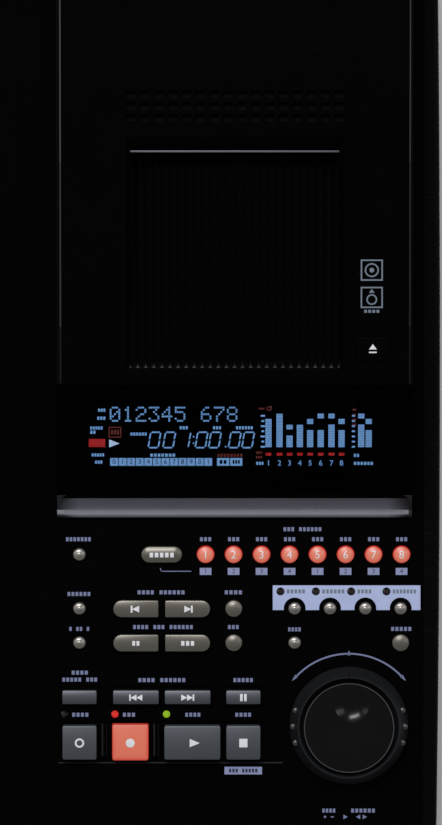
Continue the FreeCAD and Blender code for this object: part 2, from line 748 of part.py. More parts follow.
def all_keys():
    """Every key of the deck, left to right and back to front."""
    light = LIGHT_TRAVEL
    keys = [
        Key("display_key", LEFT_COLUMN_X, SELECT_ROW_Y, small_round, SMALL_RISE, light),
        Key("repeat_key", LEFT_COLUMN_X, SEARCH_ROW_Y, small_round, SMALL_RISE, light),
        Key("loop_key", LEFT_COLUMN_X, LAST_ROW_Y, small_round, SMALL_RISE, light),
        Key("group_key", GROUP_X, SELECT_ROW_Y, group_pill, PILL_RISE, light),
        Key("mark_back_key", SEARCH_X[0], SEARCH_ROW_Y, left_pill, PILL_RISE, light),
        Key("mark_forward_key", SEARCH_X[1], SEARCH_ROW_Y, right_pill, PILL_RISE, light),
        Key("search_in_key", SEARCH_X[0], LAST_ROW_Y, left_pill, PILL_RISE, light),
        Key("search_out_key", SEARCH_X[1], LAST_ROW_Y, right_pill, PILL_RISE, light),
        Key("mark_key", MARK_X, SEARCH_ROW_Y, large_round, LARGE_RISE, light),
        Key("set_key", MARK_X, LAST_ROW_Y, large_round, LARGE_RISE, light),
        Key("exit_key", function_x(0), LAST_ROW_Y, small_round, SMALL_RISE, light),
        Key("enter_key", function_x(3), LAST_ROW_Y, large_round, LARGE_RISE, light),
    ]
    for n in range(8):
        x = SELECT_FIRST_X + n * SELECT_PITCH
        name = "record_select_key_%d" % (n + 1)
        keys.append(Key(name, x, SELECT_ROW_Y, large_round, LARGE_RISE, light))
    for n, use in enumerate(("pitch", "adjust", "edit", "utility")):
        keys.append(Key(use + "_key", function_x(n), SEARCH_ROW_Y, small_round, SMALL_RISE, light))
    for name, x, outline in (
        ("punch_key", LEFT_COLUMN_X, song_short),
        ("song_back_key", SEARCH_X[0], song_long),
        ("song_forward_key", SEARCH_X[1], song_long),
        ("pause_key", STOP_X, song_short),
    ):
        keys.append(Key(name, x, SONG_ROW_Y, outline, SONG_RISE, SONG_TRAVEL, SONG_CROWN))
    for name, x, outline in (
        ("rehearse_key", LEFT_COLUMN_X, transport_square),
        ("record_key", RECORD_X, record_square),
        ("play_key", PLAY_X, transport_wide),
        ("stop_key", STOP_X, transport_square),
    ):
        y = TRANSPORT_ROW_Y
        keys.append(Key(name, x, y, outline, TRANSPORT_RISE, TRANSPORT_TRAVEL, TRANSPORT_CROWN))
    keys.append(
        Key("eject_key", EJECT_X, EJECT_Y, eject_pill, EJECT_RISE, SONG_TRAVEL, frame=on_deck)
    )
    return keys


KEYS = all_keys()
PANEL_KEYS = [key for key in KEYS if key.name != "eject_key"]
EJECT_KEY = KEYS[-1]


def lamp_places():
    """(x, y) of every lamp that shows through the panel."""
    function = [
        (function_x(n) + FUNCTION_LAMP_DX, SEARCH_ROW_Y + FUNCTION_LAMP_DY) for n in range(4)
    ]
    return function + [(x, STATUS_LAMP_Y) for x in STATUS_LAMP_X]


# ---------------------------------------------------------------- case


def panel_outline(inset, front, back, bottom):
    """(y, z) outline of the space under the panel's surface, inset from it."""
    drop = inset / cos(PANEL_SLOPE)
    return [
        (front, bottom),
        (front, panel_z(front) - drop),
        (back, panel_z(back) - drop),
        (back, bottom),
    ]


def well(left, right, front, back):
    """A shallow recess in the panel, its walls square to the surface."""
    frame = on_panel((left + right) / 2, (front + back) / 2)
    half_x = (right - left) / 2
    half_y = (back - front) / 2 / cos(PANEL_SLOPE)
    return placed(box((-half_x, half_x), (-half_y, half_y), (-WELL_DEPTH, PANEL_T)), frame)


def transport_well():
    half = TRANSPORT / 2
    return well(
        LEFT_COLUMN_X - half - WELL_LEFT,
        STOP_X + half + WELL_RIGHT,
        TRANSPORT_ROW_Y - half - WELL_FRONT,
        TRANSPORT_ROW_Y + half + WELL_BACK,
    )


def song_wells():
    groups = (
        (LEFT_COLUMN_X, LEFT_COLUMN_X, TRANSPORT),
        (SEARCH_X[0], SEARCH_X[1], SONG_LENGTH),
        (STOP_X, STOP_X, TRANSPORT),
    )
    front = SONG_ROW_Y - SONG_WIDTH / 2 - WELL_MARGIN
    back = SONG_ROW_Y + SONG_WIDTH / 2 + WELL_MARGIN
    return [
        well(first - length / 2 - WELL_MARGIN, last + length / 2 + WELL_MARGIN, front, back)
        for first, last, length in groups
    ]


def guard(x):
    """A raised rib beside the record key, standing on the well's floor and sloping down to the front."""
    rib = slot_face(GUARD_LENGTH, GUARD_WIDTH, 0, -WELL_DEPTH)
    rib = rib.extrude(V(0, 0, WELL_DEPTH + GUARD_RISE))
    rib.rotate(V(0, 0, 0), Z_AXIS, 90)
    wedge = side_prism(
        [
            (-GUARD_LENGTH, GUARD_RISE - 3.0),
            (GUARD_LENGTH, GUARD_RISE + 1.2),
            (GUARD_LENGTH, 3 * GUARD_RISE),
            (-GUARD_LENGTH, 3 * GUARD_RISE),
        ],
        (-GUARD_WIDTH, GUARD_WIDTH),
    )
    return placed(rib.cut(wedge), on_panel(x, GUARD_Y))


def deck_opening_y():
    """Front and back of the opening that the control panel has under the deck block."""
    return LEDGE_BACK + PANEL_RIM, REAR_WALL_Y - SHEET


def deck_opening_x():
    """Its sides, which also clear the disc drive."""
    return DECK_LEFT + PANEL_RIM, max(DECK_RIGHT - PANEL_RIM, u(RIGHT_WALL_U) + DRIVE_ROOM)


def make_top_panel():
    front = PANEL_FRONT_SETBACK
    outer = panel_outline(0, front, PANEL_BACK, PANEL_APRON_Z)
    shell = rounded_prism(outer, (PANEL_LEFT, PANEL_RIGHT), PANEL_NOSE, outer[1])
    inside = front + PANEL_T
    inner = panel_outline(PANEL_T, inside, PANEL_BACK + 1, PANEL_APRON_Z - 1)
    shell = shell.cut(
        rounded_prism(inner, (PANEL_LEFT - 1, PANEL_RIGHT + 1), PANEL_NOSE - PANEL_T, inner[1])
    )
    bosses = []
    for x, y in BOARD_SCREWS:
        frame = on_panel(x, y)
        length = BOARD_DEPTH - PANEL_T + 0.6
        tube = cylinder(BOSS_RADIUS, V(0, 0, -BOARD_DEPTH), Z_AXIS, length)
        bosses.append(placed(tube, frame))
    openings = [key.hole() for key in PANEL_KEYS]
    openings += [transport_well()] + song_wells()
    for x, y in lamp_places():
        bore = cylinder(LAMP_RADIUS + LAMP_GAP, V(0, 0, -2 * PANEL_T), Z_AXIS, 3 * PANEL_T)
        openings.append(placed(bore, on_panel(x, y)))
    hub = cylinder(HUB_RADIUS + 0.5, V(0, 0, -2 * PANEL_T), Z_AXIS, 3 * PANEL_T)
    openings.append(placed(hub, on_panel(DIAL_X, DIAL_Y)))
    openings.append(
        box(deck_opening_x(), deck_opening_y(), (CHASSIS_TOP, panel_z(CASE_DEPTH)))
    )
    half_seam = SEAM_WIDTH / 2
    seam = box((-half_seam, half_seam), (PANEL_NOSE, CASE_DEPTH + PANEL_NOSE), (-SEAM_WIDTH, 1))
    openings.append(placed(seam, on_panel(PANEL_SEAM_X, 0)))
    for x, y in BOARD_SCREWS:
        pilot = cylinder(SCREW_RADIUS + SCREW_CLEAR, V(0, 0, -BOARD_DEPTH - 1), Z_AXIS, 8.0)
        openings.append(placed(pilot, on_panel(x, y)))
    ribs = [guard(x) for x in GUARD_X]
    return fuse([cut(fuse([shell] + bosses), openings)] + ribs)


def cheek_profile():
    """(y, z) outline of a cheek seen from the side."""
    top_front = panel_z(0) + CHEEK_RISE
    top_back = panel_z(CASE_DEPTH) + CHEEK_RISE
    return [(0, CHASSIS_Z), (0, top_front), (CASE_DEPTH, top_back), (CASE_DEPTH, CHASSIS_Z)]


def make_cheek(side):
    """One cheek: bowed in plan, rounded at the nose and along its outer top edge."""
    inner = PANEL_RIGHT
    end = inner + CHEEK_END
    low = 0.0
    plan = Part.Wire(
        [
            Part.makeLine(V(inner, 0, low), V(end, 0, low)),
            arc(V(end, 0, low), V(end + CHEEK_BOW, CASE_DEPTH / 2, low), V(end, CASE_DEPTH, low)),
            Part.makeLine(V(end, CASE_DEPTH, low), V(inner, CASE_DEPTH, low)),
            Part.makeLine(V(inner, CASE_DEPTH, low), V(inner, 0, low)),
        ]
    )
    outline = Part.Face(plan).extrude(V(0, 0, 2 * panel_z(CASE_DEPTH)))
    profile = cheek_profile()
    slab = rounded_prism(profile, (0, 2 * end), CHEEK_NOSE, profile[1])
    cheek = outline.common(slab)
    top = [e for e in cheek.Edges if is_outer_top_edge(e, inner)]
    cheek = cheek.makeFillet(CHEEK_EDGE, top)
    ledge_in = inner - CHEEK_LEDGE
    bottom_ledge = box(
        (ledge_in, inner), (PANEL_NOSE, REAR_WALL_Y - SHEET), (CHASSIS_TOP, CHASSIS_TOP + CHEEK_LEDGE_T)
    )
    back_ledge = box(
        (ledge_in, inner),
        (REAR_WALL_Y - SHEET - CHEEK_LEDGE_T, REAR_WALL_Y - SHEET),
        (CHASSIS_TOP, panel_z(REAR_WALL_Y) - 2 * PANEL_T - 3),
    )
    cheek = fuse([cheek, bottom_ledge, back_ledge])
    radius = SCREW_RADIUS + SCREW_CLEAR
    deep = CHEEK_LEDGE_T + PILOT_SPARE + 1
    pilots = [
        cylinder(radius, V(x, y, CHASSIS_TOP - 1), Z_AXIS, deep) for x, y in bottom_screws() if x > 0
    ]
    back = REAR_WALL_Y - SHEET - CHEEK_LEDGE_T - 1
    pilots += [cylinder(radius, V(x, back, z), Y_AXIS, deep) for x, z in rear_screws() if x > 0]
    cheek = cut(cheek, pilots)
    return cheek if side > 0 else cheek.mirror(V(PANEL_MIDDLE, 0, 0), X_AXIS)


def is_outer_top_edge(edge, inner):
    """True for the edges where a cheek's outer face meets its top and nose."""
    if len(edge.Vertexes) != 2:
        return False
    points = [v.Point for v in edge.Vertexes]
    outside = all(p.x > inner + CHEEK_END / 2 for p in points)
    above = all(p.z > panel_z(0) - CHEEK_NOSE - 4 for p in points)
    return outside and above and abs(points[0].y - points[1].y) > 1


def both_sides(inset):
    """X of a pair of places, the same way in from the panel's two side edges."""
    return PANEL_LEFT + inset, PANEL_RIGHT - inset


def bottom_screws():
    """(x, y) of the screws that hold the chassis to the cheeks' ledges."""
    places = (SCREW_END, CASE_DEPTH / 2, CASE_DEPTH - SCREW_END)
    return [(x, y) for x in both_sides(CHEEK_LEDGE / 2) for y in places]


def rear_screws():
    """(x, z) of the screws through the socket wall."""
    return [(x, z) for x in both_sides(CHEEK_LEDGE / 2) for z in REAR_SCREW_Z]


def pin_jacks():
    return [(x, z) for x in PIN_JACK_X for z in PIN_JACK_Z] + [DIGITAL_JACK]


def rear_tool(radius, x, z):
    return cylinder(radius, V(x, REAR_WALL_Y - 3 * SHEET, z), Y_AXIS, 6 * SHEET)


def foot_places():
    places = (FOOT_INSET_Y, CASE_DEPTH - FOOT_INSET_Y)
    return [(x, y) for x in both_sides(FOOT_INSET_X) for y in places]


def make_base_chassis():
    front = PANEL_FRONT_SETBACK + PANEL_T + SEAT_GAP
    wide = both_sides(SEAT_GAP)
    floor = box(wide, (front, REAR_WALL_Y), (CHASSIS_Z, CHASSIS_TOP))
    nose = box(both_sides(CHEEK_LEDGE), (front, front + SHEET), (CHASSIS_Z, 20.0))
    rear_top = panel_z(REAR_WALL_Y) - PANEL_T / cos(PANEL_SLOPE) - 0.6
    rear = box(wide, (REAR_WALL_Y - SHEET, REAR_WALL_Y), (CHASSIS_Z, rear_top))
    tools = [cylinder(FOOT_PLUG_RADIUS, V(x, y, 0), Z_AXIS, 10.0) for x, y in foot_places()]
    tools += [
        cylinder(SCREW_RADIUS + SCREW_CLEAR, V(x, y, CHASSIS_Z - 1), Z_AXIS, 3 * SHEET)
        for x, y in bottom_screws()
    ]
    tools += [rear_tool(SCREW_RADIUS + SCREW_CLEAR, x, z) for x, z in rear_screws()]
    tools += [rear_tool(PIN_JACK_RADIUS, x, z) for x, z in pin_jacks()]
    tools += [rear_tool(ROUND_SOCKET_RADIUS, x, ROUND_SOCKET_Z) for x in ROUND_SOCKET_X]
    tools.append(
        box(
            (INLET_X - INLET_WIDTH / 2, INLET_X + INLET_WIDTH / 2),
            (REAR_WALL_Y - 2 * SHEET, REAR_WALL_Y + SHEET),
            (INLET_Z - INLET_HEIGHT / 2, INLET_Z + INLET_HEIGHT / 2),
        )
    )
    half = FLOOR_SLOT_WIDTH / 2
    slot_y = (FLOOR_SLOT_FRONT, FLOOR_SLOT_FRONT + FLOOR_SLOT_LENGTH)
    for n in range(FLOOR_SLOT_COUNT):
        x = (n - (FLOOR_SLOT_COUNT - 1) / 2) * FLOOR_SLOT_PITCH
        tools.append(box((x - half, x + half), slot_y, (CHASSIS_Z - 1, CHASSIS_TOP + 1)))
    return cut(fuse([floor, nose, rear]), tools)


def make_feet():
    feet = []
    for x, y in foot_places():
        pad = Part.makeCone(FOOT_RADIUS - 1.2, FOOT_RADIUS, FOOT_HEIGHT, V(x, y, 0))
        plug = cylinder(FOOT_PLUG_RADIUS, V(x, y, FOOT_HEIGHT), Z_AXIS, SHEET + 1.5)
        feet.append(fuse([pad, plug]))
    return feet


def make_rear_sockets():
    face = REAR_WALL_Y
    solids = []
    for x, z in pin_jacks():
        root = face - PIN_JACK_ROOT
        barrel = cylinder(PIN_JACK_RADIUS, V(x, root, z), Y_AXIS, PIN_JACK_ROOT + PIN_JACK_REACH)
        bore = cylinder(PIN_JACK_BORE, V(x, face - 2.0, z), Y_AXIS, 2 * PIN_JACK_ROOT)
        body = block(x, z, *PIN_JACK_BODY, root - SHEET, face - SHEET)
        solids.append(fuse([barrel, body]).cut(bore))
    for x in ROUND_SOCKET_X:
        z = ROUND_SOCKET_Z
        root = face - ROUND_SOCKET_ROOT
        long = ROUND_SOCKET_ROOT + ROUND_SOCKET_REACH
        shell = cylinder(ROUND_SOCKET_RADIUS, V(x, root, z), Y_AXIS, long)
        body = block(x, z, ROUND_SOCKET_BODY, ROUND_SOCKET_BODY, root - SHEET, face - SHEET)
        inner, outer = SOCKET_RING
        ring = cylinder(outer, V(x, face - SOCKET_WELL, z), Y_AXIS, long)
        ring = ring.cut(cylinder(inner, V(x, root, z), Y_AXIS, 2 * long))
        contacts = []
        for angle in (0, 45, 90, 135, 180):
            contact_x = x + CONTACT_CIRCLE * cos(angle)
            contact_z = z + CONTACT_CIRCLE * sin(angle)
            start = V(contact_x, face - CONTACT_DEPTH, contact_z)
            contacts.append(cylinder(CONTACT_RADIUS, start, Y_AXIS, long))
        solids.append(cut(fuse([shell, body]), [ring] + contacts))
    solids.append(make_power_inlet())
    return solids


def block(x, z, width, height, back, front):
    """A box round a point of the socket wall, from Y back to Y front."""
    return box((x - width / 2, x + width / 2), (back, front), (z - height / 2, z + height / 2))


def make_power_inlet():
    x, z, face = INLET_X, INLET_Z, REAR_WALL_Y
    wide, high = INLET_WIDTH, INLET_HEIGHT
    rim = 2 * INLET_WALL
    body = block(x, z, wide, high, face - INLET_ROOT, face)
    frame = block(
        x, z, wide + 2 * INLET_FRAME[0], high + 2 * INLET_FRAME[1], face, face + INLET_FRAME_T
    )
    hollow = block(x, z, wide - rim, high - rim, face - INLET_DEPTH, face + 2 * INLET_FRAME_T)
    blade_x, length, blade_z = BLADE_SIZE
    root = face - INLET_DEPTH - 1
    blades = [
        block(x + dx, z + dz, blade_x, blade_z, root, root + length) for dx, dz in BLADE_SET
    ]
    return fuse([fuse([body, frame]).cut(hollow)] + blades)


def screw(base, axis, length):
    """A pan-head screw: base is under the head, and axis points down the shank."""
    head = cylinder(SCREW_HEAD_RADIUS, base - axis * SCREW_HEAD_T, axis, SCREW_HEAD_T)
    return fuse([head, cylinder(SCREW_RADIUS, base, axis, length)])


def make_screws():
    solids = []
    for x, y in bottom_screws():
        solids.append(screw(V(x, y, CHASSIS_Z), Z_AXIS, SHEET + CHEEK_LEDGE_T))
    for x, z in rear_screws():
        solids.append(screw(V(x, REAR_WALL_Y, z), -Y_AXIS, SHEET + CHEEK_LEDGE_T))
    for x, y in BOARD_SCREWS:
        local = screw(V(0, 0, -BOARD_DEPTH - BOARD_T), Z_AXIS, BOARD_T + 5.0)
        solids.append(placed(local, on_panel(x, y)))
    return solids


# ---------------------------------------------------------------- deck block


def deck_profile(inset, front, back):
    """(y, z) outline of the deck block, inset from its window seat and top."""
    seat = (WINDOW_T + inset) / cos(DISPLAY_SLOPE)
    top = inset / cos(DECK_SLOPE)
    step = DISPLAY_BACK + inset
    return [
        (front, panel_z(front)),
        (front, display_z(front) - seat),
        (step, display_z(step) - seat),
        (step, deck_z(step) - top),
        (back, deck_z(back) - top),
        (back, panel_z(back)),
    ]


def window_opening():
    """The cut through the seat in front of the display tube."""
    half_x = TUBE_LENGTH / 2 - TUBE_LIP
    half_y = TUBE_WIDTH / 2 - TUBE_LIP
    depth = 4 * (WINDOW_T + DECK_WALL)
    return placed(
        box((-half_x, half_x), (-half_y, half_y), (-depth / 2, depth / 2)), on_display(TUBE_X, TUBE_Y)
    )


def chute_opening():
    half = CHUTE_WIDTH / 2
    return box(
        (DECK_X - half, DECK_X + half), (CHUTE_FRONT, CHUTE_BACK), (CHUTE_FLOOR_Z - 10, deck_z(CASE_DEPTH))
    )


def vents():
    """Rows of short slots over the disc drive."""
    tools = []
    for row in range(VENT_ROWS):
        y = behind_slot(VENT_SETBACK) + (row - (VENT_ROWS - 1) / 2) * VENT_PITCH_Y
        for column in range(VENT_COLUMNS):
            x = DECK_X + (column - (VENT_COLUMNS - 1) / 2) * VENT_PITCH_X
            tools.append(
                placed(
                    box((-VENT_W / 2, VENT_W / 2), (-VENT_H / 2, VENT_H / 2), (-2 * DECK_WALL, DECK_WALL)),
                    on_deck(x, y),
                )
            )
    return tools


def make_deck_housing():
    front = LEDGE_BACK + LEDGE_WALL
    outer = deck_profile(0, front, PANEL_BACK)
    shell = side_prism(outer, (DECK_LEFT, DECK_RIGHT))
    sides = [e for e in shell.Edges if is_deck_side_edge(e)]
    shell = shell.makeChamfer(DECK_CHAMFER, sides)
    inner = deck_profile(DECK_WALL, front + DECK_WALL, PANEL_BACK - DECK_WALL)
    inner[0] = (inner[0][0], inner[0][1] - 1)
    inner[-1] = (inner[-1][0], inner[-1][1] - 1)
    cavity = side_prism(inner, (DECK_LEFT + DECK_WALL, DECK_RIGHT - DECK_WALL))
    shell = shell.cut(cavity)
    shell = cut(shell, [window_opening(), chute_opening(), EJECT_KEY.hole()] + vents())
    length = BOARD_DEPTH - DECK_WALL + 0.5
    posts = [
        placed(
            cylinder(EJECT_POST_RADIUS, V(0, side * EJECT_POST_DY, -BOARD_DEPTH), Z_AXIS, length),
            EJECT_KEY.frame,
        )
        for side in (-1, 1)
    ]
    return fuse([shell] + posts)


def is_deck_side_edge(edge):
    """True for the two long side edges of the deck top."""
    if len(edge.Vertexes) != 2:
        return False
    a, b = (v.Point for v in edge.Vertexes)
    long_enough = abs(a.y - b.y) > 100 and abs(a.x - b.x) < 1e-6
    on_top = abs(a.z - deck_z(a.y)) < 0.01 and abs(b.z - deck_z(b.y)) < 0.01
    return long_enough and on_top


def make_display_window():
    drop = WINDOW_T / cos(DISPLAY_SLOPE)
    front = LEDGE_BACK
    back = DISPLAY_BACK - SEAT_GAP
    profile = [
        (front, display_z(front) - drop),
        (front, display_z(front)),
        (back, display_z(back)),
        (back, display_z(back) - drop),
    ]
    return side_prism(profile, (DECK_LEFT, DECK_RIGHT))


def make_display_tube():
    top = -WINDOW_T - DECK_WALL
    glass = box(
        (-TUBE_LENGTH / 2, TUBE_LENGTH / 2), (-TUBE_WIDTH / 2, TUBE_WIDTH / 2), (top - TUBE_T, top)
    )
    tip = cylinder(TUBE_TIP_RADIUS, V(TUBE_LENGTH / 2, 0, top - TUBE_T / 2), X_AXIS, TUBE_TIP_LENGTH)
    return placed(fuse([glass, tip]), on_display(TUBE_X, TUBE_Y))


def make_display_ledge():
    """The grey moulding in front of the window: a cove with a rounded toe along its foot."""
    foot = panel_z(LEDGE_FRONT)
    top_z = display_z(LEDGE_BACK)
    seat = WINDOW_T / cos(DISPLAY_SLOPE)
    back = LEDGE_BACK + LEDGE_WALL
    toe_top = foot + LEDGE_TOE
    profile = [
        (LEDGE_FRONT, foot),
        (LEDGE_FRONT, toe_top),
        (LEDGE_FRONT + LEDGE_TOE, toe_top + 0.4),
        (LEDGE_BACK, top_z),
        (LEDGE_BACK, top_z - seat),
        (back, display_z(back) - seat),
        (back, panel_z(back)),
    ]
    solid = rounded_prism(profile, (DECK_LEFT, DECK_RIGHT), 2.8, profile[1])
    low, high = profile[2], profile[3]
    face_run = math.hypot(high[0] - low[0], high[1] - low[1])
    out_y = -(high[1] - low[1]) / face_run
    out_z = (high[0] - low[0]) / face_run
    centre_y = (low[0] + high[0]) / 2 + out_y * (COVE_RADIUS - COVE_DEPTH)
    centre_z = (low[1] + high[1]) / 2 + out_z * (COVE_RADIUS - COVE_DEPTH)
    reach = math.sqrt(COVE_RADIUS**2 - (COVE_RADIUS - COVE_DEPTH) ** 2)
    left = DECK_LEFT + reach + 0.6
    right = DECK_RIGHT - reach - 0.6
    scoop = cylinder(COVE_RADIUS, V(left, centre_y, centre_z), X_AXIS, right - left)
    ends = [Part.makeSphere(COVE_RADIUS, V(x, centre_y, centre_z)) for x in (left, right)]
    return solid.cut(fuse([scoop] + ends))


# ---------------------------------------------------------------- chute and flap


def under_deck(inset, y):
    """Everything under the deck's top plane, inset below it, as a wide block."""
    drop = inset / cos(DECK_SLOPE)
    profile = [
        (y[0], CHUTE_FLOOR_Z - 20),
        (y[0], deck_z(y[0]) - drop),
        (y[1], deck_z(y[1]) - drop),
        (y[1], CHUTE_FLOOR_Z - 20),
    ]
    return side_prism(profile, (DECK_X - CHUTE_WIDTH, DECK_X + CHUTE_WIDTH))


def flute_centre_z():
    """Height of the flutes' axes: their edges meet in cusps at the floor's level."""
    return CHUTE_FLOOR_Z + math.sqrt(FLUTE_RADIUS**2 - (FLUTE_PITCH / 2) ** 2)


def flutes(front, back):
    """Round-nosed grooves side by side along the chute floor."""
    tools = []
    for n in range(FLUTE_COUNT):
        x = DECK_X + (n - (FLUTE_COUNT - 1) / 2) * FLUTE_PITCH
        centre = V(x, front + FLUTE_PITCH / 2, flute_centre_z())
        groove = cylinder(FLUTE_RADIUS, centre, Y_AXIS, back - centre.y)
        half = FLUTE_PITCH / 2
        depth = (CHUTE_FLOOR_Z - FLUTE_RADIUS, CHUTE_FLOOR_Z + FLUTE_RADIUS)
        strip = box((x - half, x + half), (front - 1, back), depth)
        nose = Part.makeSphere(FLUTE_RADIUS, centre)
        tools.append(fuse([groove, nose]).common(strip))
    return tools


def make_disc_chute():
    half = CHUTE_WIDTH / 2 - SEAT_GAP
    front = CHUTE_FRONT + SEAT_GAP
    back = CHUTE_BACK - SEAT_GAP
    floor = CHUTE_FLOOR_Z
    body = box((DECK_X - half, DECK_X + half), (front, back), (floor - CHUTE_FLOOR_T, deck_z(back)))
    body = body.common(under_deck(0, (front - 1, back + 1)))
    rim = half + CHUTE_FLANGE
    flange = box(
        (DECK_X - rim, DECK_X + rim), (front + 8, back + CHUTE_FLANGE), (floor - 10, deck_z(back + 5))
    )
    flange = flange.common(under_deck(DECK_WALL, (front - 9, back + 9)))
    flange = flange.cut(under_deck(DECK_WALL + CHUTE_FLANGE_T, (front - 9, back + 9)))
    body = fuse([body, flange])
    inner = half - CHUTE_BEVEL
    brow_z = floor + BROW_CLEAR
    brow_y = SLOT_WALL_FACE - BROW_REACH
    pocket = side_prism(
        [
            (front, deck_z(back)),
            (front, deck_z(front)),
            (front + CHUTE_LAND, floor),
            (SLOT_WALL_FACE, floor),
            (SLOT_WALL_FACE, brow_z),
            (brow_y, brow_z),
            (brow_y, brow_z + BROW_LIP),
            (back, deck_z(back)),
        ],
        (DECK_X - inner, DECK_X + inner),
    )
    body = body.cut(pocket)
    body = cut(body, side_bevels(half, inner, front + CHUTE_LAND, back))
    body = cut(body, flutes(front + 0.6, SLOT_WALL_FACE - 0.01))
    slot = box(
        (DECK_X - SLOT_WIDTH / 2, DECK_X + SLOT_WIDTH / 2),
        (SLOT_WALL_FACE - 1, back + CHUTE_FLANGE + 1),
        (floor, floor + SLOT_HEIGHT),
    )
    lug_z = (floor + FLAP_AXIS_Z - FLAP_LUG, floor + FLAP_AXIS_Z + FLAP_LUG)
    lugs = []
    for side in (-1, 1):
        inside = DECK_X + side * (FLAP_WIDTH / 2 + FLAP_GAP)
        outside = inside + side * FLAP_LUG
        axis_y = flap_axis_y()
        lug = box(
            (min(inside, outside), max(inside, outside)),
            (back - 0.5, axis_y + FLAP_LUG),
            lug_z,
        )
        bore = cylinder(
            FLAP_PIN_R + PIN_CLEAR, V(min(inside, outside) - 1, axis_y, floor + FLAP_AXIS_Z), X_AXIS, 5.0
        )
        lugs.append(lug.cut(bore))
    body = fuse([body.cut(slot)] + lugs)
    half_room = FLAP_WIDTH / 2 + FLAP_GAP
    room = box((DECK_X - half_room, DECK_X + half_room), (back, back + CHUTE_FLANGE + 1), lug_z)
    return body.cut(room)


def side_bevels(half, inner, front, back):
    """The bevels down both sides of the chute, parallel to the deck top."""
    length = (back - front) / cos(DECK_SLOPE)
    tools = []
    for side in (-1, 1):
        section = face_of(
            [
                V(side * inner, 0, -CHUTE_BEVEL_DEPTH),
                V(side * half, 0, 0),
                V(side * half, 0, 1),
                V(side * inner, 0, 1),
            ]
        )
        tools.append(placed(section.extrude(V(0, length, 0)), on_deck(DECK_X, front)))
    return tools


def flap_axis_y():
    return CHUTE_BACK - SEAT_GAP + FLAP_GAP + FLAP_BARREL_R


def make_slot_flap():
    """The dust flap behind the slot, hung from pins at its top corners."""
    y = flap_axis_y()
    axis_z = CHUTE_FLOOR_Z + FLAP_AXIS_Z
    left = DECK_X - FLAP_WIDTH / 2
    barrel = cylinder(FLAP_BARREL_R, V(left, y, axis_z), X_AXIS, FLAP_WIDTH)
    plate = box(
        (left, left + FLAP_WIDTH), (y - FLAP_T / 2, y + FLAP_T / 2), (CHUTE_FLOOR_Z + FLAP_FOOT, axis_z)
    )
    pin_start = left - FLAP_PIN_LENGTH
    pin = cylinder(FLAP_PIN_R, V(pin_start, y, axis_z), X_AXIS, FLAP_WIDTH + 2 * FLAP_PIN_LENGTH)
    return fuse([barrel, plate, pin])


# ---------------------------------------------------------------- dial


def revolved(profile):
    """A solid of revolution from (radius, height) points, round the local Z axis."""
    face = face_of([V(r, 0, z) for r, z in profile])
    return face.revolve(V(0, 0, 0), Z_AXIS, 360)


def dial_foot():
    """Lower end of both dial shafts in the dial's frame."""
    return -BOARD_DEPTH + ENCODER_BODY + ENCODER_COLLAR + 0.2


def make_shuttle_ring():
    bore = JOG_SHAFT_RADIUS + SHAFT_CLEAR
    web_top = RING_CLEAR + RING_WEB
    inner_edge = RING_TOP_RADIUS - RING_EDGE
    ring = revolved(
        [
            (bore, dial_foot()),
            (HUB_RADIUS, dial_foot()),
            (HUB_RADIUS, RING_CLEAR),
            (RING_RADIUS, RING_CLEAR),
            (RING_RADIUS, RING_CLEAR + RING_RIM),
            (RING_TOP_RADIUS, RING_HEIGHT),
            (inner_edge, RING_HEIGHT),
            (RING_BORE, RING_HEIGHT - 2.0),
            (RING_BORE, web_top),
            (bore, web_top),
        ]
    )
    nubs = []
    circle = nub_circle()
    for centre in (0, 180):
        for step in (-1, 0, 1):
            angle = centre + step * NUB_STEP
            place = V(circle * cos(angle), circle * sin(angle), NUB_HEIGHT)
            nubs.append(Part.makeSphere(NUB_RADIUS, place))
    notch = box((-0.3, 0.3), (RING_TOP_RADIUS - 0.2, RING_RADIUS + 1), (RING_HEIGHT - 4.0, RING_HEIGHT + 1))
    return placed(fuse([ring] + nubs).cut(notch), on_panel(DIAL_X, DIAL_Y))


def nub_circle():
    """Radius of the ring's cone at the height of the grip nubs."""
    foot = RING_CLEAR + RING_RIM
    share = (NUB_HEIGHT - foot) / (RING_HEIGHT - foot)
    return RING_RADIUS * (1 - share) + RING_TOP_RADIUS * share


def make_jog_dial():
    skirt = RING_CLEAR + RING_WEB + 0.6
    dial = revolved(
        [
            (0, dial_foot()),
            (JOG_SHAFT_RADIUS, dial_foot()),
            (JOG_SHAFT_RADIUS, JOG_TOP - JOG_T),
            (JOG_RADIUS - JOG_SKIRT, JOG_TOP - JOG_T),
            (JOG_RADIUS - JOG_SKIRT, skirt),
            (JOG_RADIUS, skirt),
            (JOG_RADIUS, JOG_TOP),
            (JOG_RADIUS - JOG_BEAD / 3, JOG_TOP + JOG_BEAD / 2),
            (JOG_RADIUS - JOG_BEAD, JOG_TOP + JOG_BEAD / 2),
            (JOG_RADIUS - 1.5 * JOG_BEAD, JOG_TOP - 0.1),
            (0, JOG_TOP - 0.1),
        ]
    )
    rise = math.sqrt(DIMPLE_SPHERE**2 - DIMPLE_RADIUS**2)
    centre = V(DIMPLE_OFFSET * cos(DIMPLE_ANGLE), DIMPLE_OFFSET * sin(DIMPLE_ANGLE), JOG_TOP + rise)
    return placed(dial.cut(Part.makeSphere(DIMPLE_SPHERE, centre)), on_panel(DIAL_X, DIAL_Y))


# ---------------------------------------------------------------- control board


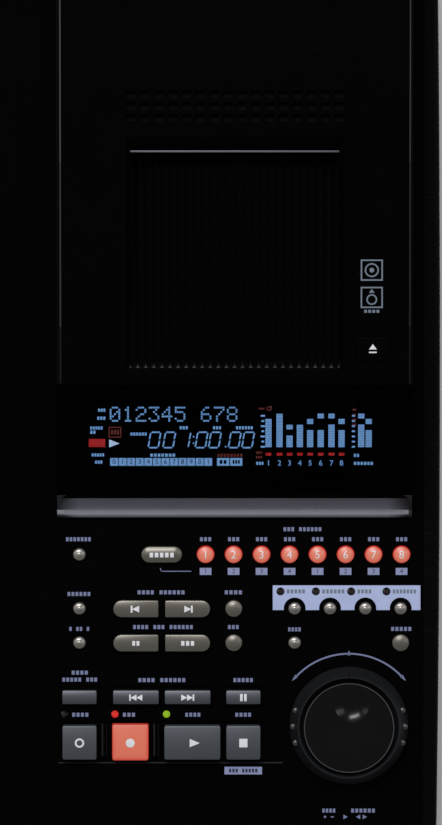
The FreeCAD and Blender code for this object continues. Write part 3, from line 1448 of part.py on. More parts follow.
def make_control_board():
    """The board under the panel, and the small one under the eject key."""
    length_y = (BOARD_Y[1] - BOARD_Y[0]) / cos(PANEL_SLOPE)
    frame = on_panel(0, BOARD_Y[0])
    main = placed(box(BOARD_X, (0, length_y), (-BOARD_DEPTH - BOARD_T, -BOARD_DEPTH)), frame)
    bores = []
    for x, y in BOARD_SCREWS:
        bore = cylinder(SCREW_RADIUS + SCREW_CLEAR, V(0, 0, -BOARD_DEPTH - 3), Z_AXIS, 6.0)
        bores.append(placed(bore, on_panel(x, y)))
    main = cut(main, bores)
    half_x = EJECT_BOARD_WIDTH / 2
    half_y = EJECT_POST_DY + EJECT_POST_RADIUS
    small = placed(
        box((-half_x, half_x), (-half_y, half_y), (-BOARD_DEPTH - BOARD_T, -BOARD_DEPTH)),
        EJECT_KEY.frame,
    )
    return [main, small]


def make_panel_switches():
    """A tact switch under every key, and the encoder under the dial."""
    half = SWITCH_SIZE / 2
    plunger = PLUNGER_SIZE / 2
    low = -BOARD_DEPTH
    body = box((-half, half), (-half, half), (low, low + SWITCH_BODY))
    top = box((-plunger, plunger), (-plunger, plunger), (low, switch_top()))
    switch = fuse([body, top])
    solids = [placed(switch, key.frame) for key in KEYS]
    side = ENCODER_SIZE / 2
    case = box((-side, side), (-side, side), (low, low + ENCODER_BODY))
    collar = cylinder(HUB_RADIUS + 1, V(0, 0, low), Z_AXIS, ENCODER_BODY + ENCODER_COLLAR)
    solids.append(placed(fuse([case, collar]), on_panel(DIAL_X, DIAL_Y)))
    return solids


def make_status_lamps():
    """Lamps on two legs, their domes just above the panel."""
    foot = -PANEL_T - 2.0
    lens = cylinder(LAMP_RADIUS, V(0, 0, foot), Z_AXIS, -foot)
    dome = Part.makeCone(LAMP_RADIUS, LAMP_RADIUS / 2, LAMP_RISE)
    legs = [box((dx - 0.3, dx + 0.3), (-0.3, 0.3), (-BOARD_DEPTH, foot + 0.2)) for dx in (-1, 1)]
    lamp = fuse([lens, dome] + legs)
    return [placed(lamp, on_panel(x, y)) for x, y in lamp_places()]


def make_main_board():
    """The signal and power board on its spacers, with its larger components."""
    z = CHASSIS_TOP + SPACER_HEIGHT
    top = z + BOARD_T
    left, right = (u(x) for x in MAIN_BOARD_U)
    front = LEDGE_FRONT + MAIN_BOARD_FRONT
    back = DRIVE_Y[0] - MAIN_BOARD_BACK
    board = box((left, right), (front, back), (z, top))
    spacers = [
        cylinder(SPACER_RADIUS, V(x, y, CHASSIS_TOP), Z_AXIS, SPACER_HEIGHT)
        for x in (left + SPACER_INSET, right - SPACER_INSET)
        for y in (front + SPACER_INSET, back - SPACER_INSET)
    ]
    parts = [fuse([board] + spacers)]
    for sides, depth, height in (
        (POWER_BLOCK_U, POWER_BLOCK_Y, POWER_BLOCK_T),
        (HEAT_SINK_U, HEAT_SINK_Y, HEAT_SINK_HEIGHT),
    ):
        x = [u(side) for side in sides]
        y = [back - far for far in depth]
        parts.append(box(x, y, (top, top + height)))
    for side in CAN_U:
        parts.append(cylinder(CAN_RADIUS, V(u(side), back - CAN_Y, top), Z_AXIS, CAN_HEIGHT))
    for side, from_front, size in CHIPS:
        x, y, half = u(side), front + from_front, size / 2
        parts.append(box((x - half, x + half), (y - half, y + half), (top, top + CHIP_T)))
    return parts


# ---------------------------------------------------------------- disc drive


def slot_tool(y, z, run_y, run_z, radius, x):
    """A round-ended slot through sheet across X, from (y, z) to (y + run_y, z + run_z)."""
    length = math.hypot(run_y, run_z)
    width = x[1] - x[0]
    bar = Part.makeBox(width, length, 2 * radius, V(x[0], 0, -radius))
    angle = math.degrees(math.atan2(run_z, run_y))
    bar.rotate(V(0, 0, 0), X_AXIS, angle)
    bar.translate(V(0, y, z))
    ends = [cylinder(radius, V(x[0], y, z), X_AXIS, width)]
    ends.append(cylinder(radius, V(x[0], y + run_y, z + run_z), X_AXIS, width))
    return fuse([bar] + ends)


def make_drive_frame():
    """A sheet-metal bridge that carries the drive over the chassis floor, with its two rails."""
    floor_z = DRIVE_FLOOR
    left = u(LEFT_WALL_U)
    right = u(RIGHT_WALL_U)
    plate = box((left, right), DRIVE_Y, floor_z)
    left_wall = box((left, left + SHEET), DRIVE_Y, (CHASSIS_TOP, above_floor(LEFT_WALL_Z)))
    right_wall = box((right - SHEET, right), DRIVE_Y, (CHASSIS_TOP, above_floor(RIGHT_WALL_Z)))
    flange_y = (DRIVE_Y[0], behind_slot(DRIVE_FLANGE_DY))
    flange_z = (CHASSIS_TOP, CHASSIS_TOP + SHEET)
    left_flange = box((left - DRIVE_FLANGE, left), flange_y, flange_z)
    ledge = PANEL_RIGHT - CHEEK_LEDGE
    right_flange = box((right, ledge - DRIVE_LEDGE_ROOM), flange_y, flange_z)
    parts = [plate, left_wall, right_wall, left_flange, right_flange]
    for side in (-1, 1):
        for end in (RAIL_U[0] - SHEET, RAIL_U[1]):
            parts.append(bracket(end, DISC_Y + side * RAIL_SPAN))
    parts.append(bracket(RAIL_U[1], LEAD_SCREW_Y))
    post = (u(RIGHT_POST_U), u(RIGHT_POST_U) + SHEET)
    half_post = 2 * CARRIER_PIN_R
    post_z = (floor_z[0], above_floor(CARTRIDGE_T))
    for y in RIGHT_PINS_Y:
        parts.append(box(post, (y - half_post, y + half_post), post_z))
    frame = fuse(parts)
    low = above_floor(PIN_Z) - CARRIER_DROP
    tools = []
    for x, pins_y in ((left, LEFT_PINS_Y), (post[0], RIGHT_PINS_Y)):
        through = (x - 1, x + SHEET + 1)
        tools += [slot_tool(y, low, 0, CARRIER_DROP, SLOT_RADIUS, through) for y in pins_y]
    gear_reach = GEAR_MODULE * (GEAR_TEETH / 2 + 1) + GEAR_ROOM
    tools.append(
        box(
            (left + SHEET, u(SLIDER_U) + GEAR_T + GEAR_SIDE_ROOM),
            (GEAR_Y - gear_reach, GEAR_Y + gear_reach),
            (floor_z[0] - 1, floor_z[1] + 1),
        )
    )
    under = V(u(0), DISC_Y, floor_z[0] - 1)
    tools.append(cylinder(SPINDLE_RADIUS + SPINDLE_ROOM, under, Z_AXIS, 3 * SHEET))
    tools.append(gear_bore(left - 1, SHEET + 2))
    screw_end = V(u(RAIL_U[1]) - 1, LEAD_SCREW_Y, RAIL_AXIS_Z)
    tools.append(cylinder(SPINDLE_RADIUS + PIN_CLEAR, screw_end, X_AXIS, 3 * SHEET))
    frame = cut(frame, tools)
    rail_length = RAIL_U[1] - RAIL_U[0]
    rail_starts = [V(u(RAIL_U[0]), DISC_Y + side * RAIL_SPAN, RAIL_AXIS_Z) for side in (-1, 1)]
    return [frame] + [cylinder(RAIL_RADIUS, start, X_AXIS, rail_length) for start in rail_starts]


def bracket(end, y):
    """An upright tab of the drive's floor that holds the end of a rail or of the lead screw."""
    return box(
        (u(end), u(end) + SHEET),
        (y - BRACKET_HALF, y + BRACKET_HALF),
        (DRIVE_FLOOR[0], RAIL_AXIS_Z + BRACKET_HALF),
    )


def gear_z():
    return above_floor(RACK_LINE_Z) - GEAR_MODULE * GEAR_TEETH / 2


def gear_bore(x, length):
    return cylinder(GEAR_SHAFT_R + PIN_CLEAR, V(x, GEAR_Y, gear_z()), X_AXIS, length)


def make_drive_motors():
    """Spindle motor, sled motor and loading gear motor, each screwed to the frame."""
    floor = DRIVE_FLOOR[1]
    bore = SPINDLE_RADIUS + PIN_CLEAR
    spindle = cylinder(SPINDLE_MOTOR_RADIUS, V(u(0), DISC_Y, floor), Z_AXIS, SPINDLE_MOTOR_T)
    spindle = spindle.cut(
        cylinder(bore, V(u(0), DISC_Y, floor - SHEET), Z_AXIS, 2 * SPINDLE_MOTOR_T)
    )
    right = u(RAIL_U[0] - SHEET) - SLED_MOTOR_GAP
    left = right - SLED_MOTOR_LENGTH
    half = SLED_MOTOR_RADIUS
    sled = cylinder(half, V(left, LEAD_SCREW_Y, RAIL_AXIS_Z), X_AXIS, SLED_MOTOR_LENGTH)
    saddle = box((left, right), (LEAD_SCREW_Y - half, LEAD_SCREW_Y + half), (floor, RAIL_AXIS_Z))
    screw_end = V(lead_screw_start() - 1, LEAD_SCREW_Y, RAIL_AXIS_Z)
    sled = fuse([sled, saddle]).cut(cylinder(bore, screw_end, X_AXIS, SLED_MOTOR_LENGTH))
    wall = u(LEFT_WALL_U)
    gearbox = box(
        (wall - GEARBOX_T, wall),
        (GEAR_Y - GEARBOX_DY[0], GEAR_Y + GEARBOX_DY[1]),
        (gear_z() - GEARBOX_HALF, gear_z() + GEARBOX_HALF),
    )
    can_end = V(wall - GEARBOX_T, GEAR_Y + LOADING_MOTOR_DY, gear_z())
    can = cylinder(LOADING_MOTOR_RADIUS, can_end, -X_AXIS, LOADING_MOTOR_LENGTH)
    deep = GEAR_SHAFT_SPARE + 0.5
    loading = fuse([gearbox, can]).cut(gear_bore(wall - deep, deep + 1))
    return [spindle, sled, loading]


def make_cartridge_carrier():
    """A folded sheet holder that the cartridge slides into, with pins at its sides."""
    inner, outer = CARRIER_INNER, CARRIER_OUTER
    low = above_floor(-CARRIER_UNDER - CARRIER_T)
    roof = above_floor(CARTRIDGE_T + CARRIER_OVER)
    back = CARTRIDGE_BACK + CARRIER_BACK_GAP
    parts = []
    for side in (-1, 1):
        wall = sorted((u(side * inner), u(side * outer)))
        lip = sorted((u(side * (inner - CARRIER_LIP)), u(side * outer)))
        parts.append(box(wall, (CARRIER_FRONT, back), (low, roof + CARRIER_T)))
        parts.append(box(lip, (CARRIER_FRONT, back), (low, low + CARRIER_T)))
    parts.append(box((u(-outer), u(outer)), (CARRIER_ROOF_FRONT, back), (roof, roof + CARRIER_T)))
    half_tab = CARRIER_TAB / 2
    parts.append(box((u(-half_tab), u(half_tab)), (back - CARRIER_T, back), (low + 1, roof + CARRIER_T)))
    window = box(
        (u(HEAD_WINDOW_U), u(outer + 1)),
        (DISC_Y - HEAD_WINDOW_HALF, DISC_Y + HEAD_WINDOW_HALF),
        (above_floor(HEAD_WINDOW_Z), roof + 2 * CARRIER_T),
    )
    carrier = fuse(parts).cut(window)
    pin_z = above_floor(PIN_Z)
    left_length = -inner - LEFT_WALL_U - PIN_SLOT_GAP
    pins = [cylinder(CARRIER_PIN_R, V(u(-inner), y, pin_z), -X_AXIS, left_length) for y in LEFT_PINS_Y]
    right_length = CARRIER_T + CARRIER_SIDE_GAP + SHEET
    pins += [cylinder(CARRIER_PIN_R, V(u(inner), y, pin_z), X_AXIS, right_length) for y in RIGHT_PINS_Y]
    return fuse([carrier] + pins)


def involute_point(base_radius, roll):
    """A point of the involute of base_radius at a roll angle, as (radius, angle)."""
    return base_radius * math.sqrt(1 + roll * roll), roll - math.atan(roll)


def gear_outline():
    """(y, z) points of a spur gear centred on the origin, with a tooth space facing +Z."""
    pitch_r = GEAR_MODULE * GEAR_TEETH / 2
    base_r = pitch_r * cos(PRESSURE_ANGLE)
    tip_r = pitch_r + 0.9 * GEAR_MODULE
    root_r = pitch_r - 1.2 * GEAR_MODULE
    half_tooth = math.pi / 2 / GEAR_TEETH - TOOTH_SLACK / pitch_r
    pitch_angle = tan(PRESSURE_ANGLE) - math.radians(PRESSURE_ANGLE)
    tip_roll = math.sqrt((tip_r / base_r) ** 2 - 1)
    points = []
    for tooth in range(GEAR_TEETH):
        middle = math.pi / 2 + (tooth + 0.5) * 2 * math.pi / GEAR_TEETH
        flank = [(root_r, half_tooth + pitch_angle)]
        for step in range(4):
            radius, angle = involute_point(base_r, tip_roll * step / 3)
            flank.append((radius, half_tooth + pitch_angle - angle))
        rising = [(r, middle - a) for r, a in flank]
        falling = [(r, middle + a) for r, a in reversed(flank)]
        points += [(r * math.cos(a), r * math.sin(a)) for r, a in rising + falling]
    return points


def make_loading_gear():
    x = u(LEFT_WALL_U) + SHEET + GEAR_SIDE_GAP
    points = [V(x, y + GEAR_Y, z + gear_z()) for y, z in gear_outline()]
    wheel = face_of(points).extrude(V(GEAR_T, 0, 0))
    shaft_start = u(LEFT_WALL_U) - GEAR_SHAFT_SPARE
    shaft = cylinder(GEAR_SHAFT_R, V(shaft_start, GEAR_Y, gear_z()), X_AXIS, x + GEAR_T - shaft_start)
    hub = cylinder(GEAR_HUB_RADIUS, V(x + GEAR_T, GEAR_Y, gear_z()), X_AXIS, GEAR_HUB_T)
    return fuse([wheel, shaft, hub])


def make_loading_slider():
    """The cam plate: slanted slots lower the carrier's pins, and a rack meets the loading gear."""
    x = (u(SLIDER_U), u(SLIDER_U) + SLIDER_T)
    front = DRIVE_Y[0]
    pitch = math.pi * GEAR_MODULE
    line = above_floor(RACK_LINE_Z)
    foot = line + 1.1 * GEAR_MODULE
    plate = box(x, (front, front + SLIDER_LENGTH), (foot, above_floor(6.0)))
    pin_z = above_floor(PIN_Z)
    through = (x[0] - 1, x[1] + 1)
    slots = [
        slot_tool(y, pin_z, -LOADING_TRAVEL, -CARRIER_DROP, SLOT_RADIUS, through) for y in LEFT_PINS_Y
    ]
    half = pitch / 4 - TOOTH_SLACK
    lean = tan(PRESSURE_ANGLE)
    teeth = []
    for n in range(-6, 4):
        y = GEAR_Y + n * pitch
        tip = line - 0.75 * GEAR_MODULE
        teeth.append(
            side_prism(
                [
                    (y - half - (foot - line) * lean, foot),
                    (y - half + (line - tip) * lean, tip),
                    (y + half - (line - tip) * lean, tip),
                    (y + half + (foot - line) * lean, foot),
                ],
                x,
            )
        )
    return cut(fuse([plate] + teeth), slots)


def make_spindle_turntable():
    top = above_floor(TURNTABLE_Z)
    foot = DRIVE_FLOOR[1] + SPINDLE_FOOT_GAP
    tip = top + TURNTABLE_TIP
    return revolved(
        [
            (0, foot),
            (SPINDLE_RADIUS, foot),
            (SPINDLE_RADIUS, top - TURNTABLE_DISH - 1),
            (TURNTABLE_RADIUS - 2, top - TURNTABLE_DISH),
            (TURNTABLE_RADIUS, top - TURNTABLE_T),
            (TURNTABLE_RADIUS, top),
            (TURNTABLE_BOSS, top),
            (TURNTABLE_BOSS - 0.8 * TURNTABLE_TIP, tip),
            (0, tip),
        ]
    ).translated(V(u(0), DISC_Y, 0))


def make_pickup_sled():
    """The optical block on its rails, with a tongue and post that carry the record head."""
    x = (u(SLED_U[0]), u(SLED_U[1]))
    y = (LEAD_SCREW_Y - SLED_BEFORE, DISC_Y + RAIL_SPAN + SLED_BEHIND)
    z = (RAIL_AXIS_Z - SLED_BELOW, RAIL_AXIS_Z + SLED_ABOVE)
    optics = box(x, y, z)
    lens = cylinder(LENS_RADIUS, V(x[0] + LENS_U, DISC_Y, z[1]), Z_AXIS, LENS_RISE)
    post_x = (u(HEAD_POST_U[0]), u(HEAD_POST_U[1]))
    tongue_y = (DISC_Y - TONGUE_HALF, DISC_Y + TONGUE_HALF)
    tongue = box((x[1] - 1, post_x[1]), tongue_y, (z[0], z[0] + TONGUE_T))
    axis_z = above_floor(HEAD_AXIS_Z)
    post = box(post_x, tongue_y, (z[0], axis_z - HEAD_AXIS_R - HEAD_REST))
    ear_z = (z[0], axis_z + EAR_RISE)
    ears = [
        box(post_x, (tongue_y[0], tongue_y[0] + EAR_T), ear_z),
        box(post_x, (tongue_y[1] - EAR_T, tongue_y[1]), ear_z),
    ]
    sled = fuse([optics, lens, tongue, post] + ears)
    length = x[1] - x[0] + 2
    rail = RAIL_RADIUS + PIN_CLEAR
    starts = [V(x[0] - 1, DISC_Y + side * RAIL_SPAN, RAIL_AXIS_Z) for side in (-1, 1)]
    bores = [cylinder(rail, start, X_AXIS, length) for start in starts]
    screw_start = V(x[0] - 1, LEAD_SCREW_Y, RAIL_AXIS_Z)
    bores.append(cylinder(SPINDLE_RADIUS + LEAD_SCREW_GAP, screw_start, X_AXIS, length))
    pin_start = V((post_x[0] + post_x[1]) / 2, tongue_y[0] - 1, axis_z)
    bores.append(cylinder(HEAD_AXIS_R + PIN_CLEAR, pin_start, Y_AXIS, 2 * TONGUE_HALF + 2))
    return cut(sled, bores)


def lead_screw_start():
    return u(RAIL_U[0] - SHEET) - SCREW_TAIL


def make_lead_screw():
    start = lead_screw_start()
    length = u(RAIL_U[1]) + SCREW_SPARE - start
    return cylinder(SPINDLE_RADIUS, V(start, LEAD_SCREW_Y, RAIL_AXIS_Z), X_AXIS, length)


def make_record_head():
    """The lifting arm over the carrier, with the head pad at its tip."""
    axis_x = u(sum(HEAD_POST_U) / 2)
    axis_z = above_floor(HEAD_AXIS_Z)
    tip = u(SLED_U[0] + PAD_U)
    half = TONGUE_HALF - HEAD_AXIS_CUT
    shaft = cylinder(HEAD_AXIS_R, V(axis_x, DISC_Y - half, axis_z), Y_AXIS, 2 * half)
    arm_z = (axis_z - ARM_T / 2, axis_z + ARM_T / 2)
    arm = box((tip, axis_x), (DISC_Y - ARM_HALF, DISC_Y + ARM_HALF), arm_z)
    pad_y = (DISC_Y - PAD_HALF, DISC_Y + PAD_HALF)
    pad = box((tip, tip + PAD_LENGTH), pad_y, (above_floor(PAD_Z), axis_z))
    return fuse([shaft, arm, pad])


# ---------------------------------------------------------------- build


def main():
    os.makedirs("parts", exist_ok=True)
    save("top_panel", make_top_panel())
    save("side_cheeks", make_cheek(-1), make_cheek(1))
    save("base_chassis", make_base_chassis())
    save("rear_sockets", *make_rear_sockets())
    save("feet", *make_feet())
    save("screws", *make_screws())
    save("deck_housing", make_deck_housing())
    save("display_ledge", make_display_ledge())
    save("display_window", make_display_window())
    save("display_tube", make_display_tube())
    save("disc_chute", make_disc_chute())
    save("slot_flap", make_slot_flap())
    save("shuttle_ring", make_shuttle_ring())
    save("jog_dial", make_jog_dial())
    save("control_board", *make_control_board())
    save("panel_switches", *make_panel_switches())
    save("status_lamps", *make_status_lamps())
    save("main_board", *make_main_board())
    save("drive_frame", *make_drive_frame())
    save("drive_motors", *make_drive_motors())
    save("cartridge_carrier", make_cartridge_carrier())
    save("loading_slider", make_loading_slider())
    save("loading_gear", make_loading_gear())
    save("spindle_turntable", make_spindle_turntable())
    save("pickup_sled", make_pickup_sled())
    save("lead_screw", make_lead_screw())
    save("record_head", make_record_head())
    for key in KEYS:
        save(key.name, key.solid())


main()
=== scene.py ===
"""A desktop minidisc deck: keycaps, legends, display and finishes set on its construction model."""

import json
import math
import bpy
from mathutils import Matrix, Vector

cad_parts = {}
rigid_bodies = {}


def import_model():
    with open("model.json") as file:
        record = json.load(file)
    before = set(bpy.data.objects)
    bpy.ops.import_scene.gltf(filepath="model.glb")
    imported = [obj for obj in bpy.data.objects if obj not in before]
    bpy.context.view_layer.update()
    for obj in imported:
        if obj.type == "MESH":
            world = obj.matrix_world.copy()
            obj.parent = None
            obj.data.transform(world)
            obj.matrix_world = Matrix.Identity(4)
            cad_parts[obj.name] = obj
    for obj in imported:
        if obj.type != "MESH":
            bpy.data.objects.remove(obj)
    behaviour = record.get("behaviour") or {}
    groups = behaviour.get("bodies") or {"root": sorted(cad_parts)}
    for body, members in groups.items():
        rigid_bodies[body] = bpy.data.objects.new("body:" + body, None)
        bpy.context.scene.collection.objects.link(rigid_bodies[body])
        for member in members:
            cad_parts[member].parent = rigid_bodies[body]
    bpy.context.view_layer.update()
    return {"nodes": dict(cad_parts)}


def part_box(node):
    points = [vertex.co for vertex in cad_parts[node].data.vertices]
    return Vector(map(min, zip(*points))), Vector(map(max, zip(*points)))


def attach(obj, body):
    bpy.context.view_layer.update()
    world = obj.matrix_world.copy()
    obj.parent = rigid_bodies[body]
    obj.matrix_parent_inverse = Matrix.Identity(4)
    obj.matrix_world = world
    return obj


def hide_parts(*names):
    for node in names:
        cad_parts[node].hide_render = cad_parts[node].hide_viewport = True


bl_info = {
    "name": "Minidisc Deck",
    "version": (1, 0, 0),
    "blender": (4, 5, 0),
    "location": "View3D > Sidebar > Minidisc Deck",
    "description": "Models the keycaps, legends and display of a minidisc deck and its finishes",
    "category": "Object",
}

import bmesh
import bpy
from bpy.props import FloatProperty, FloatVectorProperty, IntProperty, PointerProperty
from mathutils import Matrix, Vector

for leftover in list(bpy.data.objects):
    bpy.data.objects.remove(leftover)
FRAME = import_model()

MM = 0.001
FRONT_Y = 195.0  # the front edge lies this far in front of the frame's origin
MIDDLE_X = 2.25  # the key layout's middle lies this far to the right of the frame's origin
UP = Vector((0, 0, 1))
SMOOTH_ANGLE = math.radians(35)
REAR, RIGHT, LEFT = 0.0, math.pi / 2, -math.pi / 2  # which way a triangle points


# ------------------------------------------------------------------ surfaces of the case


class Surface:
    """A sloping surface of the case. Places on it are layout millimetres: x from the middle of the
    keys, y from the front edge, both measured level."""

    def __init__(self, start_y, start_z, slope):
        self.start_y = start_y
        self.start_z = start_z
        self.slope = math.radians(slope)

    def place(self, x, y, lift=0.0):
        """The matrix that sets a piece on the surface at a place, raised by lift millimetres."""
        height = self.start_z + (y - self.start_y) * math.tan(self.slope)
        spot = Vector((x + MIDDLE_X, y - FRONT_Y, height)) * MM
        turn = Matrix.Rotation(self.slope, 4, "X")
        return Matrix.Translation(spot + turn @ UP * lift * MM) @ turn

    def along(self, y):
        """Metres up the slope from the surface's start to a level place."""
        return (y - self.start_y) * self.stretch() * MM

    def stretch(self):
        return 1 / math.cos(self.slope)


WINDOW_SLOPE = 15.0
WINDOW_Y = 158.2  # front edge of the window
WINDOW_Z = 64.63  # height of its top there
TUBE_DEPTH = 5.0  # from the window's top to the tube's glass
TUBE_Z = WINDOW_Z - TUBE_DEPTH / math.cos(math.radians(WINDOW_SLOPE))

PANEL = Surface(0.0, 36.0, 6.0)
TUBE = Surface(WINDOW_Y, TUBE_Z, WINDOW_SLOPE)
DECK = Surface(205.3, 77.25, 8.0)
BENCH = Surface(0.0, 0.0, 0.0)  # level at the origin, for what is modelled once and copied

SELECT_PITCH = 12.0
SELECT_X = [-4.9 + SELECT_PITCH * i for i in range(8)]
SELECT_GLOW_Y = 132.5  # middle of the glow in the select keys
RECORD_SPOT = (-37.2, 52.2)
FUNCTION_X = (33.3, 48.45, 63.6, 78.75)
DIAL = (56.6, 59.3)


# ------------------------------------------------------------------ painted highlights and painted shade

# each is a box on a moulding where light or shade is painted into its colour: x, y and z ranges in
# layout millimetres, and how strong the tint is
ANY_HEIGHT = (0.0, 110.0)
RIB_Y = (46.0, 60.0)  # the ribs that guard the record key
# painted highlights: the guard ribs' edges, the left ones brighter, and the lit front edge of the
# transport keys' well
PANEL_HIGHLIGHTS = (
    ((-49.5, -48.85), RIB_Y, ANY_HEIGHT, 0.06),
    ((-47.6, -47.05), RIB_Y, ANY_HEIGHT, 0.015),
    ((-27.3, -26.65), RIB_Y, ANY_HEIGHT, 0.06),
    ((-25.4, -24.85), RIB_Y, ANY_HEIGHT, 0.015),
    ((-68.0, 28.2), (42.9, 43.4), ANY_HEIGHT, 0.09),
)
# painted highlights along the deck's side edges, brighter towards the rear, and a faint one on the
# right further forward
DECK_EDGE_HIGHLIGHTS = (((-66.95, -66.4), (0.2, 0.13, 0.04)), ((81.85, 82.4), (0.14, 0.08, 0.03)))
DECK_EDGE_YS = ((300.0, 392.0), (230.0, 300.0), (206.0, 230.0))
DECK_HIGHLIGHTS = [
    (edge, reach, ANY_HEIGHT, amount)
    for edge, amounts in DECK_EDGE_HIGHLIGHTS
    for reach, amount in zip(DECK_EDGE_YS, amounts)
] + [((83.3, 84.0), (160.0, 206.0), ANY_HEIGHT, 0.05)]
CHUTE_HIGHLIGHTS = (((-37.2, 52.2), (212.6, 214.9), (77.6, 79.0), 0.13),)  # painted highlight on the flutes' front tips
LEDGE_X = (-70.0, 86.0)
LEDGE_SHADE = (
    (LEDGE_X, (WINDOW_Y, 161.0), ANY_HEIGHT, 1.0),
    (LEDGE_X, (147.0, 149.5), ANY_HEIGHT, 0.6),
)
LEDGE_Y = (100.0, 220.0)  # wider than the ledge
# painted shade: the ledge's ends darkened
LEDGE_END_SHADE = (
    ((-90.0, -59.0), LEDGE_Y, ANY_HEIGHT, 0.85),
    ((73.0, 104.0), LEDGE_Y, ANY_HEIGHT, 0.98),
)
LEDGE_END_SHADE_FADE = 8.0  # millimetres over which the painted shade at the ledge's ends fades in
# painted highlight: a pale line along the ledge's bead
LEDGE_BEAD_HIGHLIGHT = (((-69.5, 82.0), (149.9, 151.9), ANY_HEIGHT, 0.9),)
HARD_EDGE = 0.01  # millimetres over which other places start


# ------------------------------------------------------------------ settings


def length(label, default, about):
    """A length, whose default is given in millimetres."""
    return FloatProperty(
        name=label, description=about, default=default * MM, min=0.0, unit="LENGTH"
    )


def level(label, default, about, unit="NONE"):
    return FloatProperty(name=label, description=about, default=default, unit=unit)


def colour(label, default, about):
    return FloatVectorProperty(
        name=label, description=about, subtype="COLOR", size=3, min=0.0, max=1.0, default=default
    )


class MinidiscDeckSizes(bpy.types.PropertyGroup):
    """Sizes of the keycaps, legends and display."""

    cap_edge: length("Cap Edge", 0.45, "Rounding of the square keycaps' edges")
    dome_edge: length("Dome Edge", 0.7, "Rounding of the round keycaps' shoulders")
    small_dome: length("Small Dome", 0.7, "How far the small round keycaps' tops bulge")
    large_dome: length("Large Dome", 0.7, "How far the other round keycaps' tops bulge")
    small_key: length("Small Key", 5.3, "Diameter of the small round keys")
    large_key: length("Large Key", 7.2, "Diameter of the large round keys")
    pill_width: length("Pill Width", 7.0, "Width of the pill-shaped keys")
    transport: length("Transport Key", 14.5, "Width of the square transport keys")
    record: length("Record Key", 15.2, "Width of the record key")
    transport_crown: length("Transport Crown", 42.0, "Radius of the transport keys' crowned tops")
    song_crown: length("Song Crown", 8.5, "Radius of the song keys' crowned tops")
    pill_crown: length("Pill Crown", 14.0, "Radius of the search keys' crowned tops")
    ink: length("Ink Thickness", 0.04, "Thickness of the printed legends")
    letter: length("Letter Height", 1.7, "Height of the legend marks")
    numeral: length("Numeral Height", 3.4, "Height of the numerals on the select keys")
    meter_bar: length("Meter Bar", 2.65, "Width of the display's level bars")
    dial_arc: length("Dial Arc", 30.9, "Radius of the arc printed round the dial")
    round_steps: IntProperty(
        name="Round Steps", description="Segments in a rounded corner", default=12, min=3, max=32
    )


class MinidiscDeckColours(bpy.types.PropertyGroup):
    """Colours of the finishes, as linear values."""

    panel: colour("Panel Black", (0.0006, 0.0006, 0.0008), "Case and deck plastic")
    cheek: colour("Cheek Black", (0.001, 0.001, 0.0012), "Side cheeks")
    # painted highlight: the tint for lit edges, the flute tips and the ledge's bead
    painted_highlight: colour("Painted Highlight", (0.3, 0.3, 0.34), "Painted highlight on the mouldings' edges and the ledge's bead")
    ledge: colour("Ledge Grey", (0.185, 0.2, 0.235), "Painted ledge under the window")
    slate: colour("Slate Key", (0.082, 0.09, 0.103), "Transport and song keys")
    taupe: colour("Taupe Key", (0.128, 0.118, 0.1), "Large round keys and pill keys")
    # painted sheen: a lighter copy of the taupe, for the small round keys' bright highlights
    taupe_dome: colour("Taupe Dome", (0.215, 0.2, 0.182), "Small round keys")
    lit_core: colour("Lit Key Core", (0.74, 0.25, 0.152), "Middle of a lit select key")
    lit_rim: colour("Lit Key Rim", (0.56, 0.022, 0.012), "Rim of a lit select key")
    record_core: colour("Record Key Core", (0.688, 0.183, 0.103), "Middle of the lit record key")
    ink: colour("Legend Lavender", (0.148, 0.168, 0.285), "Printed legends")
    band: colour("Band Lavender", (0.33, 0.38, 0.58), "Printed band over the function keys")
    ink_white: colour("Legend White", (0.6, 0.6, 0.63), "Symbols printed on the keys")
    phosphor: colour("Phosphor Blue", (0.25, 0.53, 0.98), "Lit display segments")
    phosphor_white: colour("Phosphor White", (0.55, 0.73, 1.0), "Pale display segments")
    phosphor_red: colour("Phosphor Red", (0.8, 0.03, 0.03), "Red display segments")
    phosphor_dim: colour("Phosphor Dim", (0.14, 0.026, 0.02), "Faint red display segments")
    lamp_red: colour("Lamp Red", (0.62, 0.02, 0.015), "Record lamp")
    lamp_green: colour("Lamp Green", (0.24, 0.42, 0.01), "Play lamp")
    zinc: colour("Zinc", (0.58, 0.58, 0.6), "Plated steel")
    steel: colour("Chassis", (0.018, 0.018, 0.02), "Powder-coated chassis")
    board: colour("Board Green", (0.012, 0.07, 0.028), "Circuit boards")
    gear: colour("Gear White", (0.62, 0.6, 0.54), "Moulded drive parts")


class MinidiscDeckStudio(bpy.types.PropertyGroup):
    """Camera and light."""

    frame_height: length("Frame Height", 352.85, "Height of the camera's frame at the deck")
    camera_height: level("Camera Height", 5.0, "Camera above the deck", "LENGTH")
    rear_light: level("Rear Light", 60.0, "Power of the rear lamp", "POWER")
    side_light: level("Side Light", 6.0, "Power of the left lamp", "POWER")
    ambient: level("Ambient", 0.25, "Strength of the room's light")
    floor: colour("Floor", (0.72, 0.72, 0.73), "Plain pale floor")


def sizes():
    return bpy.context.scene.minidisc_deck_sizes


def colours():
    return bpy.context.scene.minidisc_deck_colours


def studio():
    return bpy.context.scene.minidisc_deck_studio


# ------------------------------------------------------------------ modelling helpers

MERGE = 0.0005  # millimetres within which a drawing's corners are one
INK_LIFT = 0.004  # print above the surface it lies on
OVERPRINT_LIFT = 0.03  # print above other print
MARK_FILL = 0.68  # share of a letter's pitch that its block fills
TYPE_SIZE = 1.4  # size of the built-in type for a number one millimetre high


def deselect():
    if bpy.context.mode != "OBJECT":
        bpy.ops.object.mode_set(mode="OBJECT")
    bpy.ops.object.select_all(action="DESELECT")


def pick(piece):
    """Makes one piece the only selected one."""
    deselect()
    piece.select_set(True)
    bpy.context.view_layer.objects.active = piece


